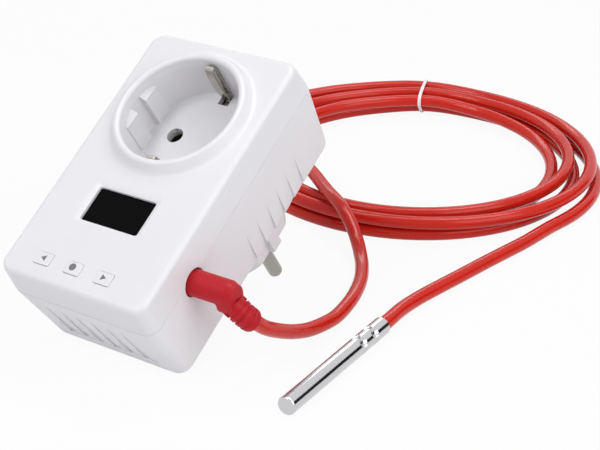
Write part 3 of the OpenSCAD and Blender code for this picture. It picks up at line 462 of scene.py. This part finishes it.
def makeRearShell():
    h, v = housing, louvre
    r, top = h["rearRound"], -h["partingDepth"] - h["gap"] / 2
    rings = [ringAt(top + up, inset) for up, inset in h["rearEdge"]]
    rings += [ringAt(z) for z in h["rearRings"]]
    rings += [ringAt(-h["depth"] + r - r * rise, r * inset) for rise, inset in quarter()]
    shell = loft("rearShell", rings[::-1])
    combine(shell, loft("inner", [ringAt(h["wall"] - h["depth"], h["wall"]), ringAt(0, h["wall"])]))
    for spot in screwSpots():
        combine(shell, rod(h["tube"], h["tubeLow"], h["tubeTop"], spot), "UNION")
    for spot in screwSpots():
        combine(shell, rod(h["bore"], h["cutLow"], h["boreTop"], spot))
    combine(shell, rod(h["plugHole"], h["cutLow"], h["plugHoleTop"], (0, plug["y"]), steps=96))

    def half(depth, index):
        # Half the width (0) or length (1) of the rear shell at a depth
        share = (depth - h["partingDepth"]) / (h["depth"] - h["rearSoft"] - h["partingDepth"])
        return (h["middle"][index] - (h["middle"][index] - h["rear"][index]) * share) / 2

    start, top = half(h["depth"] - v["sideLength"], 0), v["sideLength"] - h["depth"]
    lean = math.atan2(start - h["rear"][0] / 2 + v["sideDepth"], v["sideLength"])
    for side in (1, -1):
        spot = Matrix.Translation((side * start * mm, v["sideFirst"] * mm, top * mm))
        combine(shell, louvreCutter(v["sideLength"] + past, lean, v["sidePitch"], v["sideRise"],
                                    spot @ Matrix.Diagonal((side, 1, 1, 1))))
    top = v["endLow"] + v["endLength"]
    start = half(-top, 1)
    lean = math.atan2(start - half(-v["endLow"], 1) + v["endDepth"], v["endLength"])
    spot = Matrix.Translation((v["endFirst"] * mm, (v["endStart"] - start) * mm, top * mm))
    spot = spot @ Matrix.Rotation(-math.pi / 2, 4, "Z")
    combine(shell, louvreCutter(v["endLength"], lean, -v["endPitch"], v["endRise"], spot))
    combine(shell, jackHole())
    soften(shell, width=0.15, angle=14)
    finishPiece(shell, whiteAbs, "housing", "white_plastic", "rear_shell")


def makeSocketInsert():
    w = well
    radius, floor, under, bend = w["radius"], w["floor"], w["floor"] - w["floorThick"], w["floorRound"]
    cup = lathe("socketInsert", [
        (0, under), (0, floor), *arc((radius - bend, floor + bend), bend, -90, 0, 4), (radius, w["lip"]),
        (w["cup"], w["lip"]), (w["cup"], w["flangeTop"]), (w["flange"], w["flangeTop"]),
        (w["flange"], w["flangeLow"]), (w["cup"], w["flangeLow"]), (w["cup"], under)], steps=160)
    for side in (-1, 1):
        spot = (side * w["holeX"], 0)
        combine(cup, rod(w["boss"], under - w["bossDepth"], floor - past, spot), "UNION")
    inner, outer, high = radius - w["ribDepth"], radius + w["ribRoot"], w["ribTop"]
    outline = [(inner, floor - past), (outer, floor - past), (outer, high),
               (radius - w["ribShoulder"], high), (inner, high - w["ribSlope"])]
    for side in (-1, 1):
        for low in (-w["ribGap"] / 2 - w["ribWidth"], w["ribGap"] / 2):
            ends = (low, low + w["ribWidth"])
            combine(cup, loft("rib", [[(side * x, y, z) for x, z in outline] for y in ends]), "UNION")
    for side in (-1, 1):
        spot = (side * w["holeX"], 0)
        low, top = w["holeCut"]
        combine(cup, rod(w["hole"], low, top, spot))
        combine(cup, rod(w["hole"] + w["sink"], low, floor - w["sinkTop"], spot))
        y = side * (w["slotIn"] + w["slotOut"]) / 2
        combine(cup, block((w["slotWidth"], w["slotOut"] - w["slotIn"], w["slotCut"]), (0, y, floor)))
    soften(cup, width=0.16, angle=32)
    cup.matrix_world = atWell()
    finishPiece(cup, socketAbs, "housing", "white_plastic", "socket_insert")


def bentStrip(name, points, thick, width):
    # Strip in the Y-Z plane along a smoothed line, with its width across X
    line = smoothRoute([Vector((0, y, z)) for y, z in points], 6) + [Vector((0, *points[-1]))]
    sides = []
    for i, p in enumerate(line):
        way = (line[min(i + 1, len(line) - 1)] - line[max(i - 1, 0)]).normalized()
        side = Vector((0, -way.z, way.y)) * thick / 2
        sides.append((p + side, p - side))
    half = width / 2
    return loft(name, [[(-half, a.y, a.z), (half, a.y, a.z), (half, b.y, b.z), (-half, b.y, b.z)]
                       for a, b in sides])


earthClip = {
    "thick": 0.7, "width": 3.1,
    "arm": [(18.85, -16.5), (18.85, -12), (18.85, -6), (18.8, -1), (18.6, 0.45), (18, 0.95), (17.3, 0.6),
            (16.9, -0.5), (16.7, -2.2), (16.7, -5), (16.75, -8), (17.1, -11), (17.6, -14), (17.8, -15.7)],
}


def makeEarthBracket():
    # One strip: down one arm, under the cup and up the other arm
    arm = earthClip["arm"]
    line = [(-y, z) for y, z in arm[::-1]] + arm
    strip = bentStrip("earthBracket", line, earthClip["thick"], earthClip["width"])
    soften(strip, width=0.2, angle=40)
    strip.matrix_world = atWell()
    finishPiece(strip, nickelPlate, "housing", "plug_nickel", "earth_bracket")


plug = {
    "y": 12.5, "radius": 18.4, "face": -55, "top": -34.8, "flange": 19.3, "flangeLow": -36, "edge": 1,
    "pinX": 9.5, "pin": 2.4, "pinEnd": -74, "shank": 2.1, "shankTop": -32.7, "tail": 1.1, "tailTop": -30,
    "nose": [(0, 0), (1.6, 0), (1.95, 0.3), (2.27, 0.8), (2.4, 1.3)],  # radius, and height over the end
    "gap": 0.1, "cutLow": -60, "padWidth": 7, "padDepth": 1.82, "padLength": 17, "padMiddle": -47.5,
    "channelDepth": 2.4, "channelWidth": 6.6, "channelGap": 4.4, "channelLength": 15,
}


def makePlug():
    g = plug
    r, face, edge, gap = g["radius"], g["face"], g["edge"], g["gap"]
    base = lathe("plugBase", [
        (0, face), *arc((r - edge, face + edge), edge, -90, 0, 5), (r, g["flangeLow"]),
        (g["flange"], g["flangeLow"]), (g["flange"], g["top"]), (0, g["top"])], steps=128)
    deep, long = g["channelDepth"] + 2 * past, g["channelLength"] + 2 * past
    for side in (-1, 1):
        for half in (-1, 1):
            x = side * (r - g["channelDepth"] + deep / 2)
            y = half * (g["channelGap"] + g["channelWidth"]) / 2
            z = face + g["channelLength"] / 2 - past
            combine(base, block((deep, g["channelWidth"], long), (x, y, z)))
        combine(base, block((g["padWidth"], g["padDepth"] + 2 * past, g["padLength"]),
                            (0, side * (r - g["padDepth"] / 2 + past), g["padMiddle"])))
        spot = (side * g["pinX"], 0)
        combine(base, rod(g["pin"] + gap, g["cutLow"], face + gap, spot))
        combine(base, rod(g["shank"] + gap, g["cutLow"], g["tailTop"], spot))
    soften(base, width=0.2, angle=35)
    base.matrix_world = Matrix.Translation((0, g["y"] * mm, 0))
    finishPiece(base, whiteAbs, "housing", "white_plastic", "plug_base")
    for side, name in ((-1, "left"), (1, "right")):
        pin = lathe("plugPin" + name.capitalize(), [
            *[(radius, g["pinEnd"] + z) for radius, z in g["nose"]], (g["pin"], face), (g["shank"], face),
            (g["shank"], g["shankTop"]), (g["tail"], g["shankTop"]), (g["tail"], g["tailTop"]),
            (0, g["tailTop"])], steps=64)
        soften(pin)
        pin.matrix_world = Matrix.Translation((side * g["pinX"] * mm, g["y"] * mm, 0))
        finishPiece(pin, turnedNickel, "housing", "plug_nickel", "plug_pin_" + name)


def makeKeys():
    k = keys
    w, h = k["size"]
    c, edge = k["corner"], k["edge"]
    turns = [math.pi * i / 20 for i in range(40)]
    dot = [(k["dot"] * math.cos(turn), k["dot"] * math.sin(turn)) for turn in turns]
    marks = [[(-x, -y) for x, y in k["arrow"]], dot, k["arrow"]]
    names = (("left_key", "key_left"), ("set_key", "key_set"), ("right_key", "key_right"))
    lip, low = k["lipTop"], k["lipTop"] - k["lipThick"]
    for x, outline, shift, (body, node) in zip(k["x"], marks, k["markShift"], names):
        at = (x, k["y"])
        wide, tall = w + 2 * k["lip"], h + 2 * k["lip"]
        rings = [roundedRing(wide, tall, c, low, 5, at), roundedRing(wide, tall, c, lip, 5, at),
                 roundedRing(w, h, c, lip + 0.001, 5, at)]
        for rise, inset in quarter(3):
            less, z = 2 * edge * inset, k["proud"] - edge + edge * rise
            rings.append(roundedRing(w - less, h - less, c, z, 5, at))
        cap = loft("keyCap", rings)
        combine(cap, rod(k["stem"], k["stemEnd"], low + k["stemInLip"], at), "UNION")
        soften(cap)
        finishPiece(cap, whiteAbs, body, "white_plastic", node)
        spot = (x + shift[0], k["y"] + shift[1])
        mark = loft("keyMark", [[(spot[0] + u, spot[1] + v, k["proud"] + lift) for u, v in outline]
                                for lift in k["markLift"]])
        finishPiece(mark, inkGrey, body, "white_plastic")


plugBody = {
    "barrelIn": 25.9, "barrel": 4.1, "barrelEdge": 0.3, "barrelOut": 40.4,
    "low": (-27.2, -16.2), "lowLess": 0.25,  # second centre of the flat end, and how much smaller it is
    "end": [(4.1, 38), (4.1, 40.4), (3.5, 42.1), (3.35, 42.25), (3.3, 42.75), (3.15, 43)],  # radius and X
    "bend": [(38.6, -26.2, -13.5), (39.6, -27.1, -16.7), (45.2, -28.88, -19.87), (45.2, -27.85, -22.9)],
    "elbow": (4.4, 4.1), "neck": (3.8, 3.8), "square": 2.15,  # half widths of the leaning part
    "elbowCut": -17.6, "cutter": (20, 40, 60),  # what the elbow loses past the flat end
    "overlap": 0.02, "reliefFrom": 0.5, "ringIn": 3.85, "ringOut": 3.7, "ringEdge": 0.2, "ringDrop": 0.25,
    "core": 3.35, "coreFrom": 0.36, "groove": 0.5, "pitch": 1.85, "pinHole": 1.8, "pinHoleIn": 20,
    "pin": [(0, 12.1), (0.75, 12.1), (1.75, 13.6), (1.75, 14.2), (1.5, 14.35), (1.5, 14.8), (1.75, 14.95),
            (1.75, 31.9), (0, 31.9)],
}


def bendPoint(t):
    a, b, c, d = (Vector(p) for p in plugBody["bend"])
    s = 1 - t
    return a * s ** 3 + b * 3 * t * s * s + c * 3 * t * t * s + d * t ** 3


def sweep(name, line, halves, square=2):
    # Rings across a line, each with two half widths, the first of them along X; 2 is round and more squarer
    rings, count = [], 56
    for i, p in enumerate(line):
        way = (line[min(i + 1, len(line) - 1)] - line[max(i - 1, 0)]).normalized()
        wide = (Vector((1, 0, 0)) - way * way.x).normalized()
        side = way.cross(wide)
        ring = []
        for k in range(count):
            c, s = math.cos(2 * math.pi * k / count), math.sin(2 * math.pi * k / count)
            along = math.copysign(abs(c) ** (2 / square), c) * halves[i][0]
            across = math.copysign(abs(s) ** (2 / square), s) * halves[i][1]
            ring.append(tuple(p + wide * along + side * across))
        rings.append(ring)
    return loft(name, rings)


def stadium(radius, x):
    # Outline round the barrel's axis and a second centre further down, at one x
    j, steps = plugBody, 20
    top, low = Vector((jack["y"], jack["z"])), Vector(j["low"])
    lean = math.degrees(math.atan2(low.y - top.y, low.x - top.x))
    outline = arc(top, radius, lean + 90, lean + 270, steps)
    outline += arc(low, radius - j["lowLess"], lean - 90, lean + 90, steps)
    return [(x, y, z) for y, z in outline]


def pinBore(low, high):
    r = plugBody["pinHole"]
    return lathe("hole", [(0, low), (r, low), (r, high), (0, high)], steps=32, matrix=atJack())


def makeJackPlug():
    j = plugBody
    r, low, edge, high = j["barrel"], j["barrelIn"], j["barrelEdge"], j["barrelOut"]
    profile = [(0, low), (r - edge, low), (r, low + edge), (r, high), (0, high)]
    body = lathe("jackPlug", profile, matrix=atJack())
    shares = [i / 40 for i in range(41)]
    halves = [tuple(a + (b - a) * share for a, b in zip(j["elbow"], j["neck"])) for share in shares]
    elbow = sweep("elbow", [bendPoint(j["reliefFrom"] * share) for share in shares], halves, j["square"])
    wide, deep, tall = j["cutter"]
    spot = (high + wide / 2 - j["overlap"], jack["y"], j["elbowCut"] + tall / 2)
    combine(elbow, block((wide, deep, tall), spot))
    combine(body, elbow, "UNION")
    combine(body, loft("end", [stadium(radius, x) for radius, x in j["end"]]), "UNION")
    # Strain relief: one core with rings whose radius falls a little towards the cord
    line, halves, run, steps, start = [], [], 0, 110, j["reliefFrom"]
    for i in range(steps + 1):
        t = j["coreFrom"] + (1 - j["coreFrom"]) * i / steps
        p = bendPoint(t)
        radius = j["core"]
        if t > start:
            run += (p - line[-1]).length
            phase = run % j["pitch"]
            if phase >= j["groove"]:
                outer = j["ringIn"] + (j["ringOut"] - j["ringIn"]) * (t - start) / (1 - start)
                inside = min(phase - j["groove"], j["pitch"] - phase, j["ringEdge"]) / j["ringEdge"]
                radius = outer - j["ringDrop"] * (1 - inside)
        line.append(p)
        halves.append((radius, radius))
    combine(body, sweep("relief", line, halves), "UNION")
    combine(body, pinBore(j["pinHoleIn"], j["pin"][-1][1]))
    soften(body, width=0.16, angle=38)
    finishPiece(body, jackPvc, "sensor", "jack_red", "jack_plug")
    pin = lathe("jackPin", j["pin"], steps=48, matrix=atJack())
    soften(pin)
    finishPiece(pin, bareBrass, "sensor", "contact_brass", "jack_contact")
    inner, outer = jack["block"]
    low, high = jack["blockLow"], jack["blockTop"]
    socket = block((outer - inner, jack["blockWidth"], high - low),
                   ((inner + outer) / 2, jack["y"], (low + high) / 2))
    combine(socket, pinBore(*jack["bore"]))
    socket.name = "jackSocket"
    soften(socket, width=0.2, angle=35)
    finishPiece(socket, switchBlack, "housing", "part_black", "jack_socket")


probe = {
    "at": (62.8, -29.1), "turn": 2.4, "radius": 3, "length": 55, "tip": 0.7, "bore": 2.4, "plugged": 0.6,
    "rings": (1.1, 38, 54.3, 54.8), "edge": 0.2, "crimps": (40, 46.8),
    "dents": 6, "dent": 2.4, "dentDepth": 0.75, "dentTurn": 20,
}


def makeProbe():
    q = probe
    r, long, tip, plugged = q["radius"], q["length"], q["tip"], q["length"] - q["plugged"]
    sleeve = lathe("probeSleeve", [
        (0, 0), *arc((r - tip, tip), tip, -90, 0, 6), *[(r, z) for z in q["rings"]],
        (r - q["edge"], long), (q["bore"], long), (q["bore"], plugged), (0, plugged)])
    ball = arc((0, 0), q["dent"], -90, 90, 20)
    away = (r + q["dent"] - q["dentDepth"]) * mm
    for z in q["crimps"]:
        for k in range(q["dents"]):
            turn = math.radians(q["dentTurn"] + 360 * k / q["dents"])
            spot = Matrix.Translation((away * math.cos(turn), away * math.sin(turn), z * mm))
            combine(sleeve, lathe("dent", ball, steps=40, matrix=spot))
    soften(sleeve, width=0.06, angle=28)
    lay = Matrix.Rotation(math.radians(q["turn"]), 4, "Z") @ Matrix.Rotation(-math.pi / 2, 4, "X")
    sleeve.matrix_world = Matrix.Translation((q["at"][0] * mm, q["at"][1] * mm, r * mm)) @ lay
    sleeve.data.materials.clear()
    sleeve.data.materials.append(polishedSteel)
    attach(sleeve, "sensor")
    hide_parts("probe_sleeve")


# Cord: one curve from the strain relief through the coil to the probe, along the CAD route (mm)

cord = {
    "diameter": 4.7,
    "reliefEnd": (45.2, -27.85, -22.9), "reliefWay": (0, 0.323, -0.947),  # where it leaves the jack plug
    "lead": [(45.2, -14.5, 16.5), (45.2, -8, 12.4), (45.2, -0.5, 8.5), (45.2, 7.5, 5.4), (45.2, 15.5, 3.6),
             (44.8, 23.5, 2.5), (43.4, 32, 2.35), (41.2, 40, 2.35), (37.6, 49, 2.35), (32.6, 57.6, 2.5),
             (28, 63.6, 3.4), (24, 67.8, 5.4), (19.6, 71.2, 8.6), (14.8, 74, 11.6), (10, 77, 12.9),
             (2, 82.4, 13.1), (-10, 92, 12.8), (-24, 103, 12), (-38, 114, 12.4), (-49, 123, 13.1),
             (-58, 132, 13.1), (-65, 142, 12), (-69, 153, 9.2)],
    "probeLead": [(69.4, 104, 2.35), (67.6, 94, 2.35), (65.6, 83, 2.35), (63.6, 71, 2.35),
                  (61.6, 59.5, 2.35), (60, 49, 2.4), (59.6, 39, 2.7)],
    "centre": (1.5, 141.5), "halfWidth": 72.5, "halfDepth": 65.5, "pitchWidth": 9.5, "pitchDepth": 5.9,
    "yaw": -11, "turns": 4.46, "layerStep": 5.15, "climbTurns": 0.25,
    "tieAngle": 125, "tieLift": 0.95, "tieLiftPower": 30, "stepsPerTurn": 96, "length": 2.045,
}
tie = {"width": 1.3, "thick": 0.45, "air": 0.12, "steps": 72, "edge": 0.12}


def coilPoint(turn):
    # Two layers: the turns run inwards on the upper one, then outwards on the lower
    c = cord
    start = 360 * (c["turns"] - math.floor(c["turns"]))
    angle = math.radians(start - 360 * turn)
    inset = min(turn, c["turns"] - turn)
    u = max(-1, min(1, (turn - c["turns"] / 2) / c["climbTurns"]))
    climb = (1 - math.sin(math.pi / 2 * u)) / 2
    lift = c["tieLift"] * max(0, math.cos(angle - math.radians(c["tieAngle"]))) ** c["tieLiftPower"]
    along = (c["halfWidth"] - c["pitchWidth"] * inset) * math.cos(angle)
    across = (c["halfDepth"] - c["pitchDepth"] * inset) * math.sin(angle)
    yaw = math.radians(c["yaw"])
    return Vector((c["centre"][0] + along * math.cos(yaw) - across * math.sin(yaw),
                   c["centre"][1] + along * math.sin(yaw) + across * math.cos(yaw),
                   c["diameter"] / 2 + c["layerStep"] * climb + lift))


def smoothRoute(points, steps=8):
    out = []
    for i in range(len(points) - 1):
        a, b = points[max(i - 1, 0)], points[i]
        c, d = points[i + 1], points[min(i + 2, len(points) - 1)]
        for k in range(steps):
            u = k / steps
            out.append((2 * b + (c - a) * u + (2 * a - 5 * b + 4 * c - d) * u * u
                        + (3 * b - a - 3 * c + d) * u ** 3) / 2)
    return out


def cordPoints():
    c = cord
    d = c["diameter"]
    exitPoint = lie(*c["reliefEnd"]) / mm
    away = (place.to_3x3() @ Vector(c["reliefWay"])).normalized()
    small = 0.01
    coilIn = (coilPoint(small) - coilPoint(-small)).normalized()
    coilOut = (coilPoint(c["turns"] + small) - coilPoint(c["turns"] - small)).normalized()
    first = coilPoint(0) - coilIn * d
    last = coilPoint(c["turns"]) + coilOut * d
    turn = math.radians(probe["turn"])
    way = Vector((-math.sin(turn), math.cos(turn), 0))
    rear = Vector((*probe["at"], probe["radius"])) + way * probe["length"]
    lead = [exitPoint, exitPoint + away * d / 2, *map(Vector, c["lead"]), first - coilIn * d, first]
    tail = [last, last + coilOut * d, *map(Vector, c["probeLead"]), rear + way * d, rear]
    count = round(c["turns"] * c["stepsPerTurn"])
    coil = [coilPoint(c["turns"] * i / count) for i in range(count + 1)]
    return smoothRoute(lead) + coil + smoothRoute(tail) + [rear]


def makeCord():
    points = cordPoints()
    data = bpy.data.curves.new("sensorCord", "CURVE")
    data.dimensions = "3D"
    data.bevel_depth, data.bevel_resolution, data.use_fill_caps = cord["diameter"] / 2 * mm, 7, True
    spline = data.splines.new("POLY")
    spline.points.add(len(points) - 1)
    for spot, p in zip(spline.points, points):
        spot.co = (*(p * mm), 1)
    spline.use_smooth = True
    obj = bpy.data.objects.new("sensorCord", data)
    scene.collection.objects.link(obj)
    data.materials.append(silicone)
    return obj, points


def makeTie():
    # Strip round the hull of the turns that pass the tie's angle
    c = cord
    start = 360 * (c["turns"] - math.floor(c["turns"]))
    turns = [(start - c["tieAngle"] + 360 * k) / 360 for k in range(-1, 6)]
    middles = [coilPoint(t) for t in turns if 0 <= t <= c["turns"]]
    step = coilPoint(turns[2] + 0.002) - coilPoint(turns[2] - 0.002)
    way = Vector((step.x, step.y, 0)).normalized()
    out = Vector((way.y, -way.x, 0))
    origin = middles[0]
    reach = c["diameter"] / 2 + tie["air"]
    line = []
    for k in range(tie["steps"]):
        turn = 2 * math.pi * k / tie["steps"]
        outward = out * math.cos(turn) + Vector((0, 0, math.sin(turn)))
        best = max(middles, key=lambda p: (p - origin).dot(outward))
        line.append((best - way * (best - origin).dot(way) + outward * reach, outward))
    wide, thick = tie["width"] / 2, tie["thick"]
    strip = loft("cordTie", [[tuple(p + outward * h + way * w)
                              for h, w in ((0, -wide), (thick, -wide), (thick, wide), (0, wide))]
                             for p, outward in line], closed=True)
    soften(strip, width=tie["edge"], angle=50)
    strip.data.materials.append(tieNylon)
    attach(strip, "sensor")
    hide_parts("cord_tie")
    return strip


sensorCord, route = makeCord()
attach(sensorCord, "sensor")
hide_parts("sensor_lead", "cord_coil", "probe_lead")
makeTie()
print("cord laid", round(sum((b - a).length for a, b in zip(route, route[1:])) * mm, 4), "m")

makeFrontShell()
makeRearShell()
print("housing built")
makeSocketInsert()
makeEarthBracket()
makePlug()
makeKeys()
print("socket, plug and keys built")
makeJackPlug()
makeProbe()
print("jack plug and probe built")

# Studio: pale floor, white background, three soft lamps, and strips and cards that only gloss shows


def whiteForView(tree):
    # 1 where the camera, a mirror or glass looks, 0 for light that falls on the object
    path = addNode(tree, "ShaderNodeLightPath")
    first = addNode(tree, "ShaderNodeMath", operation="MAXIMUM",
                    links={0: path.outputs["Is Camera Ray"], 1: path.outputs["Is Glossy Ray"]})
    both = addNode(tree, "ShaderNodeMath", operation="MAXIMUM",
                   links={0: first.outputs[0], 1: path.outputs["Is Transmission Ray"]})
    return both.outputs[0]


studio = {
    "floorSize": 8, "floorLit": "EEEEEE", "floorShow": 0.92, "ambient": "A5A5A7", "card": "141415",
    "cards": [{"at": (1.15, 1.25), "width": 1.6, "height": 0.72},
              {"at": (-1.15, 1.25), "width": 1.6, "height": 0.28}],
    "strips": [{"at": (-0.75, 1.06, 0.85), "along": (0.82, 0.57, 0), "size": (1.3, 0.2), "watts": 3},
               {"at": (0, 0.2, 1.4), "along": (0.82, 0.57, 0), "size": (1.4, 0.25), "watts": 8}],
    "lamps": [{"name": "keyLamp", "at": (-0.35, -0.85, 1.1), "size": 0.5, "watts": 6.3},
              {"name": "fillLamp", "at": (1.0, -0.2, 0.65), "size": 0.9, "watts": 5.8},
              {"name": "topLamp", "at": (0.1, 0.5, 1.3), "size": 0.6, "watts": 4}],
    "target": (0, 0.05, 0.03),
}


def makeStudio():
    world = bpy.data.worlds.new("studio")
    world.use_nodes = True
    scene.world = world
    tree = world.node_tree
    tree.nodes.clear()
    lit = addNode(tree, "ShaderNodeBackground", inputs={"Color": hexColour(studio["ambient"])})
    white = addNode(tree, "ShaderNodeBackground", inputs={"Color": (1, 1, 1, 1)})
    mix = addNode(tree, "ShaderNodeMixShader",
                  {0: whiteForView(tree), 1: lit.outputs[0], 2: white.outputs[0]})
    addNode(tree, "ShaderNodeOutputWorld", {"Surface": mix.outputs[0]})

    half = studio["floorSize"] / mm / 2
    corners = [(-half, -half, 0), (half, -half, 0), (half, half, 0), (-half, half, 0)]
    floor = meshObject("floor", corners, [(0, 1, 2, 3)])
    material = bpy.data.materials.new("studioPaper")
    material.use_nodes = True
    tree = material.node_tree
    tree.nodes.clear()
    paper = addNode(tree, "ShaderNodeBsdfDiffuse", inputs={"Color": hexColour(studio["floorLit"])})
    glow = addNode(tree, "ShaderNodeEmission", inputs={"Color": (1, 1, 1, 1), "Strength": 1})
    share = addNode(tree, "ShaderNodeMath", {0: whiteForView(tree)}, operation="MULTIPLY",
                    inputs={1: studio["floorShow"]})
    mix = addNode(tree, "ShaderNodeMixShader",
                  {0: share.outputs[0], 1: paper.outputs[0], 2: glow.outputs[0]})
    addNode(tree, "ShaderNodeOutputMaterial", {"Surface": mix.outputs[0]})
    floor.data.materials.append(material)


def makeCards():
    # Dark cards that only reflections see: they give the steel its dark bands
    material = startMaterial("darkCard", Base_Color=hexColour(studio["card"]), Roughness=1)[0]
    for number, card in enumerate(studio["cards"]):
        x, y = (v / mm for v in card["at"])
        stepX, stepY = (v / math.hypot(x, y) * card["width"] / mm / 2 for v in (-y, x))
        high = card["height"] / mm
        corners = [(x - stepX, y - stepY, 0), (x + stepX, y + stepY, 0), (x + stepX, y + stepY, high),
                   (x - stepX, y - stepY, high)]
        panel = meshObject("card%d" % number, corners, [(0, 1, 2, 3)])
        panel.data.materials.append(material)
        panel.visible_camera = panel.visible_diffuse = False
        panel.visible_shadow = panel.visible_transmission = False


def makeLamp(name, at, size, watts):
    data = bpy.data.lights.new(name, "AREA")
    data.shape = "RECTANGLE"
    (data.size, data.size_y), data.energy = size, watts
    lamp = bpy.data.objects.new(name, data)
    scene.collection.objects.link(lamp)
    lamp.location = at
    return lamp


def makeLamps():
    for lamp in studio["lamps"]:
        obj = makeLamp(lamp["name"], lamp["at"], (lamp["size"], lamp["size"]), lamp["watts"])
        toTarget = Vector(studio["target"]) - Vector(lamp["at"])
        obj.rotation_euler = toTarget.to_track_quat("-Z", "Y").to_euler()
    # Narrow lamps that only reflections see: the fine streaks along the cord
    for number, strip in enumerate(studio["strips"]):
        obj = makeLamp("strip%d" % number, strip["at"], strip["size"], strip["watts"])
        inward = -Vector(strip["at"]).normalized()
        along = Vector(strip["along"])
        along = (along - inward * along.dot(inward)).normalized()
        obj.rotation_euler = Matrix((along, -inward.cross(along), -inward)).transposed().to_euler()
        obj.visible_diffuse = False


makeStudio()
makeCards()
makeLamps()
scene.view_settings.view_transform = "Standard"
print("studio lit")
